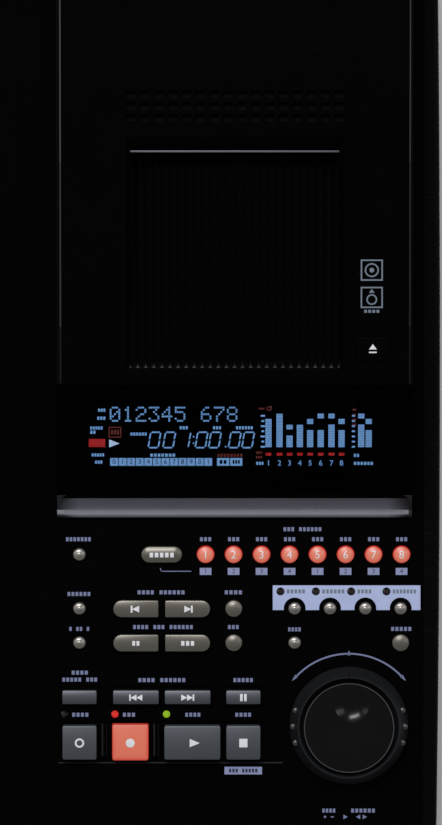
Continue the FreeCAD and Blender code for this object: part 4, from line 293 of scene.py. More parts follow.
def pick_faces(piece, wanted):
    """Selects in edit mode the faces whose middle passes the test."""
    mesh = bmesh.from_edit_mesh(piece.data)
    bpy.ops.mesh.select_all(action="DESELECT")
    for face in mesh.faces:
        if wanted(face.calc_center_median()):
            face.select_set(True)
    bmesh.update_edit_mesh(piece.data)


def pick_corners(piece, wanted):
    """Selects in edit mode the vertices whose place passes the test."""
    mesh = bmesh.from_edit_mesh(piece.data)
    bpy.ops.mesh.select_all(action="DESELECT")
    bpy.ops.mesh.select_mode(type="VERT")
    for corner in mesh.verts:
        corner.select_set(bool(wanted(corner.co)))
    bmesh.update_edit_mesh(piece.data)


def stretch(x, y, z, middle):
    bpy.ops.transform.resize(value=(x, y, z), center_override=middle)


def apply_modifier(piece, kind, **settings):
    pick(piece)
    modifier = piece.modifiers.new(kind.title(), kind)
    for key, value in settings.items():
        setattr(modifier, key, value)
    bpy.ops.object.modifier_apply(modifier=modifier.name)


def smooth(piece):
    pick(piece)
    bpy.ops.object.shade_smooth_by_angle(angle=SMOOTH_ANGLE)


def settle(piece, matrix=None):
    """Moves a finished piece to its place, so that its place is in its mesh."""
    pick(piece)
    if matrix is not None:
        piece.matrix_world = matrix
    bpy.ops.object.transform_apply(location=True, rotation=True, scale=True)


def copy_of(piece, name):
    pick(piece)
    bpy.ops.object.duplicate(linked=False)
    made = bpy.context.object
    made.name = name
    return made


def discard(*pieces):
    for piece in pieces:
        bpy.data.objects.remove(piece)


FINISHES = {}  # the materials that make_finishes returns, by their short names


def dress(piece, finish):
    piece.data.materials.clear()
    piece.data.materials.append(FINISHES[finish])


class Drawing:
    """Flat shapes drawn in edit mode in layout millimetres, then given a thickness and set down."""

    def __init__(self, name, surface):
        deselect()
        bpy.ops.mesh.primitive_plane_add(size=MM)
        self.piece = bpy.context.object
        self.piece.name = name
        self.surface = surface
        bpy.ops.object.mode_set(mode="EDIT")
        bpy.ops.mesh.delete(type="VERT")

    def at(self, x, y):
        return Vector((x * MM, self.surface.along(y), 0))

    def bar(self, x, y, width, height):
        bpy.ops.mesh.primitive_plane_add(size=MM, location=self.at(x, y))
        stretch(width, height * self.surface.stretch(), 1, self.at(x, y))

    def slanted(self, x, y, width, height, lean):
        """A bar whose rear end is shifted sideways by lean."""
        self.bar(x, y, width, height)
        top = self.at(x, y).y
        mesh = bmesh.from_edit_mesh(self.piece.data)
        for corner in mesh.verts:
            if corner.select:
                corner.select_set(corner.co.y > top)
        mesh.select_flush_mode()
        bmesh.update_edit_mesh(self.piece.data)
        bpy.ops.transform.translate(value=(lean * MM, 0, 0))

    def disc(self, x, y, radius, corners=40, turn=0.0):
        bpy.ops.mesh.primitive_circle_add(
            vertices=corners, radius=radius * MM, fill_type="NGON", location=self.at(x, y),
            rotation=(0, 0, turn),
        )

    def triangle(self, x, y, width, height, turn):
        """A triangle as wide and high as given before it is turned; unturned it points rearward."""
        bpy.ops.mesh.primitive_circle_add(
            vertices=3, radius=MM, fill_type="NGON", location=self.at(x, y)
        )
        stretch(width / math.sqrt(3), height / 1.5, 1, self.at(x, y))
        bpy.ops.transform.rotate(
            value=turn, orient_axis="Z", orient_type="GLOBAL", center_override=self.at(x, y)
        )

    def hollow(self, thickness):
        """Leaves only a rim of the face drawn last."""
        bpy.ops.mesh.inset(thickness=thickness * MM, depth=0)
        bpy.ops.mesh.delete(type="FACE")

    def ring(self, x, y, radius, thickness, corners=64):
        self.disc(x, y, radius, corners)
        self.hollow(thickness)

    def outline(self, x, y, width, height, thickness):
        self.bar(x, y, width, height)
        self.hollow(thickness)

    def marks(self, x, y, width, words, height=None):
        """A row of small blocks, as long as a legend of so many letters."""
        height = height or sizes().letter / MM
        cells = sum(words) + len(words) - 1
        pitch = width / cells
        left = x - width / 2 + pitch / 2
        cell = 0
        for letters in words:
            for _ in range(letters):
                self.bar(left + cell * pitch, y, pitch * MARK_FILL, height)
                cell += 1
            cell += 1

    def numeral(self, text, x, y, height):
        """A plain number, made from the built-in type."""
        bpy.ops.object.mode_set(mode="OBJECT")
        deselect()
        bpy.ops.object.text_add(location=self.at(x, y))
        figure = bpy.context.object
        figure.data.body = text
        figure.data.size = height * MM * TYPE_SIZE
        figure.data.align_x = "CENTER"
        figure.data.align_y = "CENTER"
        figure.data.resolution_u = 3
        bpy.ops.object.convert(target="MESH")
        bpy.ops.object.transform_apply(location=True, rotation=True, scale=True)
        self.piece.select_set(True)
        bpy.context.view_layer.objects.active = self.piece
        bpy.ops.object.join()
        bpy.ops.object.mode_set(mode="EDIT")

    def solidify(self, thickness):
        """Ends the drawing and gives it its thickness."""
        bpy.ops.mesh.select_all(action="SELECT")
        bpy.ops.mesh.remove_doubles(threshold=MERGE * MM)
        bpy.ops.object.mode_set(mode="OBJECT")
        apply_modifier(self.piece, "SOLIDIFY", thickness=thickness, offset=1)
        return self.piece

    def set_down(self, body, finish, thickness=None, lift=INK_LIFT):
        """Ends the drawing and sets it on its surface."""
        piece = self.solidify(thickness or sizes().ink)
        settle(piece, self.surface.place(0, self.surface.start_y, lift))
        dress(piece, finish)
        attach(piece, body)
        return piece


# ------------------------------------------------------------------ materials

PALE_SCUFF = (0.3, 0.3, 0.32)


class Graph:
    """Adds shader nodes to a tree and links them as they are named."""

    def __init__(self, tree):
        self.tree = tree

    def add(self, kind, settings=None, values=(), **inputs):
        node = self.tree.nodes.new("ShaderNode" + kind)
        for key, value in (settings or {}).items():
            setattr(node, key, value)
        for socket, value in zip(node.inputs, values):
            self.feed(socket, value)
        self.give(node, **inputs)
        return node

    def give(self, node, **inputs):
        """Feeds the node's inputs of these names, with underscores for spaces."""
        for key, value in inputs.items():
            self.feed(node.inputs[key.replace("_", " ")], value)

    def feed(self, socket, value):
        if isinstance(value, bpy.types.NodeSocket):
            self.tree.links.new(value, socket)
        elif value is not None:
            if socket.type == "RGBA" and len(value) == 3:
                value = (*value, 1.0)
            socket.default_value = value

    def math(self, operation, *values, clamp=False):
        return self.add("Math", {"operation": operation, "use_clamp": clamp}, values).outputs[0]

    def vector(self, operation, *values):
        return self.add("VectorMath", {"operation": operation}, values).outputs[0]

    def mix(self, factor, first, second):
        """Mixes two colours: the node's inputs 6 and 7."""
        values = (factor, *[None] * 5, first, second)
        return self.add("Mix", {"data_type": "RGBA"}, values).outputs[2]

    def blend(self, factor, first, second):
        """Mixes two plain values: the node's inputs 2 and 3."""
        values = (factor, None, first, second)
        return self.add("Mix", {"data_type": "FLOAT"}, values).outputs[0]

    def noise(self, place, scale, detail=2.0, roughness=0.5):
        node = self.add("TexNoise", Vector=place, Scale=scale, Detail=detail, Roughness=roughness)
        return node.outputs["Fac"]

    def spread(self, value, low, high):
        """Maps 0..1 to low..high."""
        node = self.add("MapRange", {"clamp": True}, Value=value, To_Min=low, To_Max=high)
        return node.outputs[0]

    def ramp(self, value, low, high):
        """Maps low..high to 0..1."""
        return self.add("MapRange", {"clamp": True}, (value, low, high, 0.0, 1.0)).outputs[0]

    def scale(self, colour, factor):
        """A colour made darker or lighter."""
        settings = {"operation": "SCALE"}
        return self.add("VectorMath", settings, (colour,), Scale=factor).outputs[0]

    def place(self):
        return self.add("TexCoord").outputs["Object"]

    def group(self, name, **inputs):
        """Places a node group and returns its outputs."""
        return self.add("Group", {"node_tree": bpy.data.node_groups[name]}, **inputs).outputs


class Finish(Graph):
    """A new material with a Principled shader, whose plain values are given by their names."""

    def __init__(self, name, **values):
        self.material = bpy.data.materials.new(name)
        self.material.use_nodes = True
        super().__init__(self.material.node_tree)
        self.principled = self.tree.nodes["Principled BSDF"]
        self.set(**values)

    def set(self, **values):
        self.give(self.principled, **values)

    def bump(self, height, depth):
        """Feeds a height to the shader's normal: depth is the relief in millimetres."""
        node = self.add("Bump", Strength=1.0, Distance=depth * MM, Height=height)
        self.set(Normal=node.outputs["Normal"])

    def handled(self, base, scuff, amount, patch, roughness, spread):
        """Gives the finish its colour and roughness, varied by handling marks."""
        marks = self.group(
            "Handling Marks", Colour=base, Scuff_Colour=scuff, Amount=amount, Patch_Scale=patch,
            Roughness=roughness, Spread=spread,
        )
        self.set(Base_Color=marks["Colour"], Roughness=marks["Roughness"])

    def grained(self, scale, coarseness, depth):
        """Gives the finish the relief of a moulded grain, depth millimetres high."""
        grain = self.group("Moulded Grain", Scale=scale, Coarseness=coarseness)
        self.bump(grain["Height"], depth)


def effect(name, inputs, outputs):
    """Starts a shader node group: inputs are (name, kind, default), outputs (name, kind)."""
    tree = bpy.data.node_groups.new(name, "ShaderNodeTree")
    for label, kind, default in inputs:
        socket = tree.interface.new_socket(label, in_out="INPUT", socket_type="NodeSocket" + kind)
        socket.default_value = (*default, 1.0) if kind == "Color" else default
    for label, kind in outputs:
        tree.interface.new_socket(label, in_out="OUTPUT", socket_type="NodeSocket" + kind)
    start = tree.nodes.new("NodeGroupInput").outputs
    end = tree.nodes.new("NodeGroupOutput").inputs
    return Graph(tree), start, end


def make_grain():
    """Fine moulded texture, as a height for bumps."""
    graph, start, end = effect(
        "Moulded Grain",
        [("Scale", "Float", 2200.0), ("Coarseness", "Float", 0.3)],
        [("Height", "Float")],
    )
    place = graph.place()
    fine = graph.noise(place, start["Scale"], 2.0, 0.6)
    coarser = graph.math("MULTIPLY", start["Scale"], 0.45)
    cells = graph.add("TexVoronoi", {"feature": "SMOOTH_F1"}, Vector=place, Scale=coarser)
    pits = cells.outputs["Distance"]
    graph.feed(end["Height"], graph.blend(start["Coarseness"], fine, pits))


def make_handling():
    """Handling marks: patches where a finish is duller or shinier, and thin hairline scuffs."""
    graph, start, end = effect(
        "Handling Marks",
        [
            ("Colour", "Color", (0.5, 0.5, 0.5)),
            ("Scuff Colour", "Color", (0.5, 0.5, 0.5)),
            ("Amount", "Float", 0.1),
            ("Patch Scale", "Float", 30.0),
            ("Roughness", "Float", 0.4),
            ("Spread", "Float", 0.08),
        ],
        [("Colour", "Color"), ("Roughness", "Float")],
    )
    place = graph.place()
    patches = graph.noise(place, start["Patch Scale"], 4.0, 0.62)
    low = graph.math("SUBTRACT", start["Roughness"], start["Spread"])
    high = graph.math("ADD", start["Roughness"], start["Spread"])
    graph.feed(end["Roughness"], graph.spread(patches, low, high))
    stretched = graph.vector("MULTIPLY", place, (60.0, 900.0, 300.0))
    hairs = graph.noise(stretched, 1.0, 3.0, 0.7)
    thin = graph.ramp(hairs, 0.66, 0.74)
    mask = graph.math("MULTIPLY", graph.math("MULTIPLY", thin, patches), start["Amount"])
    varied = graph.scale(start["Colour"], graph.spread(patches, 0.9, 1.1))
    graph.feed(end["Colour"], graph.mix(mask, varied, start["Scuff Colour"]))


def make_painted_light_zone():
    """A mask for the part of a moulding that lies in a box, where light or shade is painted into
    its colour. It grows from the box's faces inwards over the fade."""
    graph, start, end = effect(
        "Painted Light Zone",
        [
            ("Middle", "Vector", (0.0, 0.0, 0.0)),
            ("Half Size", "Vector", (1.0, 1.0, 1.0)),
            ("Fade", "Float", 0.00001),
            ("Amount", "Float", 1.0),
        ],
        [("Mask", "Float")],
    )
    place = graph.place()
    away = graph.vector("ABSOLUTE", graph.vector("SUBTRACT", place, start["Middle"]))
    beyond = graph.vector("SUBTRACT", away, start["Half Size"])
    x, y, z = graph.add("SeparateXYZ", None, (beyond,)).outputs
    outside = graph.math("MAXIMUM", graph.math("MAXIMUM", x, y), z)
    inside = graph.math("DIVIDE", graph.math("MULTIPLY", outside, -1.0), start["Fade"], clamp=True)
    painted_light = graph.spread(graph.noise(place, 400.0, 2.0), 0.8, 1.0)
    painted_zone = graph.math("MULTIPLY", graph.math("MULTIPLY", inside, painted_light), start["Amount"])
    graph.feed(end["Mask"], painted_zone)


def make_brushed():
    """Rolled or brushed metal: fine lines along X with a height, a shade and a roughness."""
    graph, start, end = effect(
        "Brushed Metal",
        [
            ("Colour", "Color", (0.6, 0.6, 0.6)),
            ("Fineness", "Float", 3000.0),
            ("Roughness", "Float", 0.35),
        ],
        [("Colour", "Color"), ("Roughness", "Float"), ("Height", "Float")],
    )
    place = graph.vector("MULTIPLY", graph.place(), (0.02, 1.0, 1.0))
    lines = graph.noise(place, start["Fineness"], 3.0, 0.6)
    blotch = graph.noise(graph.place(), 45.0, 3.0, 0.6)
    tone = graph.spread(graph.math("MULTIPLY", lines, blotch), 0.82, 1.25)
    graph.feed(end["Colour"], graph.scale(start["Colour"], tone))
    dullness = graph.spread(blotch, -0.08, 0.12)
    graph.feed(end["Roughness"], graph.math("ADD", start["Roughness"], dullness))
    graph.feed(end["Height"], lines)


def make_lit_cap():
    """The glow of a lamp behind a translucent cap: pale in the middle, deep at the rim. Caps stand
    in a row, a pitch apart."""
    graph, start, end = effect(
        "Lit Cap",
        [
            ("Core", "Color", (1, 0.5, 0.3)),
            ("Rim", "Color", (0.6, 0.02, 0.01)),
            ("First", "Vector", (0.0, 0.0, 0.0)),
            ("Pitch", "Float", 1.0),
            ("Half Size", "Float", 0.004),
            ("Squareness", "Float", 0.0),
            ("Falloff", "Float", 3.0),
        ],
        [("Colour", "Color")],
    )
    offset = graph.vector("SUBTRACT", graph.place(), start["First"])
    x, y, _ = graph.add("SeparateXYZ", None, (offset,)).outputs
    half = graph.math("MULTIPLY", start["Pitch"], 0.5)
    wrapped = graph.math("FLOORED_MODULO", graph.math("ADD", x, half), start["Pitch"])
    across = graph.math("ABSOLUTE", graph.math("SUBTRACT", wrapped, half))
    along = graph.math("ABSOLUTE", y)
    squares = [graph.math("POWER", way, 2.0) for way in (across, along)]
    circle = graph.math("SQRT", graph.math("ADD", *squares))
    square = graph.math("MAXIMUM", across, along)
    distance = graph.blend(start["Squareness"], circle, square)
    share = graph.math("DIVIDE", distance, start["Half Size"], clamp=True)
    mask = graph.math("POWER", share, start["Falloff"], clamp=True)
    graph.feed(end["Colour"], graph.mix(mask, start["Core"], start["Rim"]))


def make_phosphor():
    """The fine dots of a fluorescent segment, as a lit colour."""
    graph, start, end = effect(
        "Phosphor Dots",
        [
            ("Colour", "Color", (0.1, 0.3, 0.7)),
            ("Scale", "Float", 2600.0),
            ("Depth", "Float", 0.35),
        ],
        [("Colour", "Color")],
    )
    cells = graph.add(
        "TexVoronoi", {"feature": "F1"},
        Vector=graph.place(), Scale=start["Scale"], Randomness=0.0,
    )
    fall = graph.math("MULTIPLY", cells.outputs["Distance"], start["Depth"])
    graph.feed(end["Colour"], graph.scale(start["Colour"], graph.math("SUBTRACT", 1.0, fall)))


def make_traces():
    """Copper tracks under a solder mask."""
    graph, start, end = effect(
        "Board Tracks",
        [
            ("Mask Colour", "Color", (0.01, 0.08, 0.03)),
            ("Track Colour", "Color", (0.03, 0.16, 0.06)),
            ("Scale", "Float", 90.0),
        ],
        [("Colour", "Color"), ("Height", "Float")],
    )
    bricks = graph.add(
        "TexBrick", {"offset": 0.37, "squash": 1.6, "squash_frequency": 3},
        Vector=graph.place(), Scale=start["Scale"], Mortar_Size=0.03, Mortar_Smooth=0.1,
    )
    track = bricks.outputs["Fac"]
    graph.feed(end["Height"], track)
    graph.feed(end["Colour"], graph.mix(track, start["Mask Colour"], start["Track Colour"]))


def plastic(
    name, base, roughness, grain, depth, amount=0.05, specular=0.5, metallic=0.0, **values
):
    """Moulded or painted plastic with a fine texture and light handling marks."""
    finish = Finish(name, Specular_IOR_Level=specular, Metallic=metallic, **values)
    finish.handled(base, PALE_SCUFF, amount, patch=28.0, roughness=roughness, spread=0.06)
    finish.grained(grain, coarseness=0.35, depth=depth)
    return finish.material


def painted_light(material, zones, tint, fade=HARD_EDGE):
    """Paints light or shade into a finish's colour where it lies in one of the zones, fully from
    fade millimetres inside.
    """
    graph = Graph(material.node_tree)
    base = material.node_tree.nodes["Principled BSDF"].inputs["Base Color"]
    shift = (MIDDLE_X, -FRONT_Y, 0.0)
    for *ranges, amount in zones:
        middle = [(sum(pair) / 2 + move) * MM for pair, move in zip(ranges, shift)]
        half_size = [(high - low) / 2 * MM for low, high in ranges]
        painted_zone = graph.group(
            "Painted Light Zone", Middle=middle, Half_Size=half_size, Fade=fade * MM, Amount=amount
        )
        graph.feed(base, graph.mix(painted_zone["Mask"], base.links[0].from_socket, tint))
    return material


def metal(name, base, roughness, fineness=3000.0):
    """Plated or rolled metal."""
    finish = Finish(name, Metallic=1.0)
    brushed = finish.group("Brushed Metal", Colour=base, Fineness=fineness, Roughness=roughness)
    finish.set(Base_Color=brushed["Colour"], Roughness=brushed["Roughness"])
    finish.bump(brushed["Height"], 0.004)
    return finish.material


def glowing(name, base, light, strength):
    """A lit display segment."""
    finish = Finish(name, Base_Color=base, Roughness=0.6, Emission_Strength=strength)
    finish.set(Emission_Color=finish.group("Phosphor Dots", Colour=light)["Colour"])
    return finish.material


def lit_cap(name, core, rim, first, pitch, half, squareness, falloff):
    """A translucent key with a lamp behind it, or a row of them a pitch apart from the first."""
    finish = Finish(
        name, Roughness=0.42, Specular_IOR_Level=0.7, Emission_Strength=0.64, Coat_Weight=0.2
    )
    glow = finish.group(
        "Lit Cap", Core=core, Rim=rim, First=first, Pitch=pitch, Half_Size=half,
        Squareness=squareness, Falloff=falloff,
    )
    finish.set(Emission_Color=glow["Colour"])
    finish.handled(
        (0.2, 0.03, 0.02), core, amount=0.04, patch=60.0, roughness=0.42, spread=0.05
    )
    finish.grained(1500.0, coarseness=0.3, depth=0.004)
    return finish.material


def lamp_lens(name):
    """Small lamp lenses: the record lamp shines red and the play lamp green, the rest are dark.
    The colour goes by the place across the deck, from -0.1 to 0.1 m."""
    shade = colours()
    finish = Finish(
        name, Roughness=0.18, Specular_IOR_Level=0.6, Emission_Strength=0.9, Coat_Weight=0.4
    )
    across = finish.add("SeparateXYZ", None, (finish.place(),)).outputs[0]
    light = finish.add("ValToRGB", None, (finish.ramp(across, -0.1, 0.1),))
    glow = light.color_ramp
    glow.interpolation = "CONSTANT"
    dark = (0.0, 0.0, 0.0)
    stops = [(0.0, dark), (0.25, shade.lamp_red), (0.35, shade.lamp_green), (0.5, dark)]
    for place, tint in stops[2:]:
        glow.elements.new(place).color = (*tint, 1.0)
    for element, (place, tint) in zip(glow.elements, stops):
        element.position = place
        element.color = (*tint, 1.0)
    lit = light.outputs["Color"]
    finish.set(Emission_Color=lit)
    finish.set(Base_Color=finish.mix(0.12, (0.006, 0.003, 0.003), lit))
    finish.grained(900.0, coarseness=0.8, depth=0.006)
    return finish.material


def board(name):
    """A circuit board under its solder mask."""
    finish = Finish(name, Roughness=0.35, Specular_IOR_Level=0.5, Coat_Weight=0.3)
    tracks = finish.group(
        "Board Tracks", Mask_Colour=colours().board, Track_Colour=(0.03, 0.15, 0.06), Scale=95.0
    )
    finish.set(Base_Color=tracks["Colour"])
    finish.bump(tracks["Height"], 0.03)
    return finish.material


def smoked(name):
    """Smoked acrylic: dark, clear enough for lit segments, with faint wiping marks."""
    finish = Finish(
        name, Transmission_Weight=1.0, IOR=1.02, Metallic=0.0, Specular_IOR_Level=0.35
    )
    finish.handled(
        (0.5, 0.51, 0.54), (0.6, 0.6, 0.62), amount=0.02, patch=18.0, roughness=0.02, spread=0.015
    )
    return finish.material


def tube_face(name):
    """The display tube's dark face: black glass over the grid."""
    finish = Finish(name, Roughness=0.5, IOR=1.05)
    dots = finish.group("Phosphor Dots", Colour=(0.0015, 0.002, 0.003), Scale=1800.0, Depth=0.5)
    finish.set(Base_Color=dots["Colour"])
    return finish.material


def printed(name, base):
    """Screen-printed ink: even and satin, with a few dark scuffs."""
    finish = Finish(name, Specular_IOR_Level=0.25, Emission_Strength=0.0)
    finish.handled(
        base, (0.02, 0.02, 0.025), amount=0.12, patch=220.0, roughness=0.55, spread=0.06
    )
    return finish.material


def make_finishes():
    """Every finish, by its name."""
    for make in (
        make_grain, make_handling, make_painted_light_zone, make_brushed, make_lit_cap, make_phosphor,
        make_traces,
    ):
        make()
    shade = colours()
    black = shade.panel
    border = (0.0006, 0.0006, 0.0008)
    # name, colour, roughness, scale and depth of the grain, scuffs, specular level, metallic
    plastics = {
        "black_panel": ("Satin Black Panel", black, 0.4, 2600.0, 0.012, 0.008, 0.02),
        "black_deck": ("Satin Black Deck", black, 0.4, 2600.0, 0.012, 0.008, 0.02),
        "key_black": ("Black Key", black, 0.4, 2600.0, 0.01, 0.008, 0.02),
        "chute_black": ("Chute Plastic", black, 0.5, 2600.0, 0.006, 0.004, 0.01),
        "cheek_grey": ("Black Cheek", shade.cheek, 0.44, 1900.0, 0.02, 0.02, 0.04),
        "chassis_steel": ("Black Powder Coat", shade.steel, 0.5, 1300.0, 0.05),
        "socket": ("Socket Plastic", (0.012, 0.012, 0.013), 0.38, 1500.0, 0.008),
        "rubber": ("Foot Rubber", (0.014, 0.014, 0.014), 0.75, 900.0, 0.05, 0.05, 0.3),
        "ledge_grey": ("Ledge Paint", shade.ledge, 0.34, 3000.0, 0.004, 0.05, 0.5, 0.4),
        # painted highlight: the brow strip's pale grey stands in for the lip edge's highlight
        "brow_trim": ("Brow Trim", (0.075, 0.075, 0.093), 0.4, 2600.0, 0.003, 0.05, 0.5, 0.3),
        # painted highlight: the dial's pale rim ring
        "rim_polish": ("Rim Polish", (0.05, 0.052, 0.058), 0.3, 2400.0, 0.001, 0.05, 0.5, 0.3),
        "vent_cloth": ("Vent Cloth", (0.002, 0.002, 0.0022), 0.9, 1500.0, 0.05, 0.05, 0.05),
        "switch_body": ("Switch Body", (0.06, 0.06, 0.062), 0.45, 1500.0, 0.01),
        "dial_black": ("Dial Black", (0.002, 0.002, 0.0022), 0.22, 2400.0, 0.004, 0.05, 0.2),
        "ring_black": ("Ring Black", (0.005, 0.0055, 0.0065), 0.42, 2400.0, 0.01, 0.05, 0.3),
        "grip_grey": ("Grip Grey", (0.028, 0.028, 0.03), 0.34, 1800.0, 0.004),
        "turntable": ("Turntable", (0.05, 0.05, 0.055), 0.4, 1500.0, 0.01),
        # painted sheen: the lighter taupe of the small round keys stands in for their highlights
        "key_dome": ("Taupe Dome", shade.taupe_dome, 0.34, 3200.0, 0.003, 0.05, 0.6, 0.55),
        "key_taupe": ("Taupe Key", shade.taupe, 0.36, 3200.0, 0.003, 0.05, 0.6, 0.55),
        "key_slate": ("Slate Key", shade.slate, 0.5, 3200.0, 0.003, 0.05, 0.5, 0.7),
        "collar_white": ("White Collar", (0.7, 0.7, 0.68), 0.4, 1500.0, 0.006),
        "collar_red": ("Red Collar", (0.45, 0.02, 0.02), 0.4, 1500.0, 0.006),
        "collar_orange": ("Orange Collar", (0.65, 0.2, 0.02), 0.4, 1500.0, 0.006),
    }
    inks = {
        "ink": ("Lavender Ink", shade.ink),
        "tab": ("Tab Ink", (0.2, 0.225, 0.37)),
        "band": ("Band Ink", shade.band),
        "ink_white": ("White Ink", shade.ink_white),
        "ink_black": ("Black Ink", (0.02, 0.022, 0.05)),
        "ink_grey": ("Grey Ink", (0.13, 0.16, 0.2)),
    }
    # name, colour of the segment itself, of its light, and the light's strength
    lights = {
        "phosphor": ("Blue Phosphor", (0.02, 0.03, 0.04), shade.phosphor, 1.1),
        "phosphor_white": ("White Phosphor", (0.03, 0.03, 0.03), shade.phosphor_white, 1.3),
        "phosphor_red": ("Red Phosphor", (0.03, 0.01, 0.01), shade.phosphor_red, 0.7),
        "phosphor_dim": ("Dim Red Phosphor", (0.02, 0.01, 0.01), shade.phosphor_dim, 1.2),
    }
    finishes = {
        slot: make(*row)
        for make, rows in ((plastic, plastics), (printed, inks), (glowing, lights))
        for slot, row in rows.items()
    }
    # painted light: highlights on the ribs' and well's edges, the deck's side edges, the flute tips
    # and the ledge's bead, and painted shade on the ledge's seat, foot and ends
    painted_light(finishes["black_panel"], PANEL_HIGHLIGHTS, shade.painted_highlight)
    painted_light(finishes["black_deck"], DECK_HIGHLIGHTS, shade.painted_highlight)
    painted_light(finishes["chute_black"], CHUTE_HIGHLIGHTS, shade.painted_highlight)
    painted_light(finishes["ledge_grey"], LEDGE_SHADE, shade.panel)
    painted_light(finishes["ledge_grey"], LEDGE_END_SHADE, shade.panel, LEDGE_END_SHADE_FADE)
    painted_light(finishes["ledge_grey"], LEDGE_BEAD_HIGHLIGHT, shade.painted_highlight)
    select = PANEL.place(SELECT_X[0], SELECT_GLOW_Y).translation
    record = PANEL.place(*RECORD_SPOT).translation
    return finishes | {
        "border_black": plastic("Border Black", border, 0.6, 1500.0, 0.001, IOR=1.05),
        "gear_plastic": plastic(
            "Moulded Acetal", shade.gear, 0.4, 1200.0, 0.01, Subsurface_Weight=0.1
        ),
        "zinc_steel": metal("Zinc Plate", shade.zinc, 0.36),
        "window": smoked("Smoked Window"),
        "tube_glass": tube_face("Tube Glass"),
        "circuit_board": board("Circuit Board"),
        "lamp": lamp_lens("Lamp Lens"),
        "key_lit": lit_cap(
            "Lit Select Key", shade.lit_core, shade.lit_rim, select, pitch=SELECT_PITCH * MM,
            half=0.0037, squareness=0.0, falloff=3.5,
        ),
        "key_red": lit_cap(
            "Lit Record Key", shade.record_core, shade.lit_rim, record, pitch=1.0,
            half=0.0078, squareness=1.0, falloff=9.0,
        ),
    }


# ------------------------------------------------------------------ keys

WALL = 2.4  # thickness of the control panel
DECK_WALL = 2.5
FLANGE = 0.9  # how far a cap's flange reaches out under the panel
FLANGE_T = 0.8
RUNNING_GAP = 0.05
SWITCH_TOP = -6.0  # plunger height below the panel's surface
STEM = 2.4
STEM_ROOT = 0.02  # how far a stem reaches into its cap
ROUND_STEPS = 48  # corners of a round cap
SAME_PLACE = 1e-6  # metres within which corners are at the same place
CORNER_MERGE = 0.004  # millimetres within which a cap's corners are made one
ROUND_SLACK = 0.001  # keeps the two corners of a round end apart
SPARE_RISE = 0.5  # what the crown cuts off a flat-topped cap
CROWN_STEPS = 360  # facets of the cylinder that crowns a cap
BEND = math.radians(40)  # edges sharper than this are softened
ROUND_TRAVEL = 0.8
SONG_TRAVEL = 1.0
TRANSPORT_TRAVEL = 1.5
SMALL_RISE = 2.5
ROUND_RISE = 2.6
SONG_RISE = 2.8
TRANSPORT_RISE = 4.6
EJECT_RISE = 0.6
GROUP_WIDTH = 17.4
SEARCH_WIDTH = 19.1
SONG_WIDTH = 19.4
SONG_DEPTH = 5.7
PLAY_WIDTH = 23.9
EJECT_SIZE = (14.8, 9.8)
EJECT_CROWN = 200.0
EJECT_EDGE = 0.25
SMALL_CORNER = 0.5
LARGE_CORNER = 0.8
SMALL_SHOULDER = 0.4  # how much rounder than the others the small caps' shoulders are
SYMBOL_LIFT = 0.02  # print above a cap

# name, x, y, family
KEYS = [
    ("display_key", -59.0, 132.7, "small"),
    ("repeat_key", -59.0, 109.5, "small"),
    ("loop_key", -59.0, 94.8, "small"),
    ("group_key", -23.7, 132.7, "group"),
    ("mark_back_key", -34.8, 109.5, "left"),
    ("mark_forward_key", -12.6, 109.5, "right"),
    ("search_in_key", -34.8, 94.8, "left"),
    ("search_out_key", -12.6, 94.8, "right"),
    ("mark_key", 7.2, 109.5, "large"),
    ("set_key", 7.2, 94.8, "large"),
    ("exit_key", 33.3, 94.8, "small"),
    ("enter_key", 78.75, 94.8, "large"),
    ("pitch_key", 33.3, 109.5, "small"),
    ("adjust_key", 48.45, 109.5, "small"),
    ("edit_key", 63.6, 109.5, "small"),
    ("utility_key", 78.75, 109.5, "small"),
    ("punch_key", -59.0, 71.5, "short"),
    ("song_back_key", -34.8, 71.5, "long"),
    ("song_forward_key", -12.6, 71.5, "long"),
    ("pause_key", 11.3, 71.5, "short"),
    ("rehearse_key", -59.0, 52.2, "square"),
    ("record_key", *RECORD_SPOT, "record"),
    ("play_key", -10.6, 52.2, "wide"),
    ("stop_key", 11.3, 52.2, "square"),
    ("eject_key", 66.4, 220.7, "eject"),
] + [(f"record_select_key_{i + 1}", x, 132.7, "select") for i, x in enumerate(SELECT_X)]


def raise_face(height):
    bpy.ops.mesh.extrude_region_move(TRANSFORM_OT_translate={"value": (0, 0, height * MM)})


def step_in(thickness, rise):
    bpy.ops.mesh.inset(thickness=thickness * MM, depth=rise * MM)


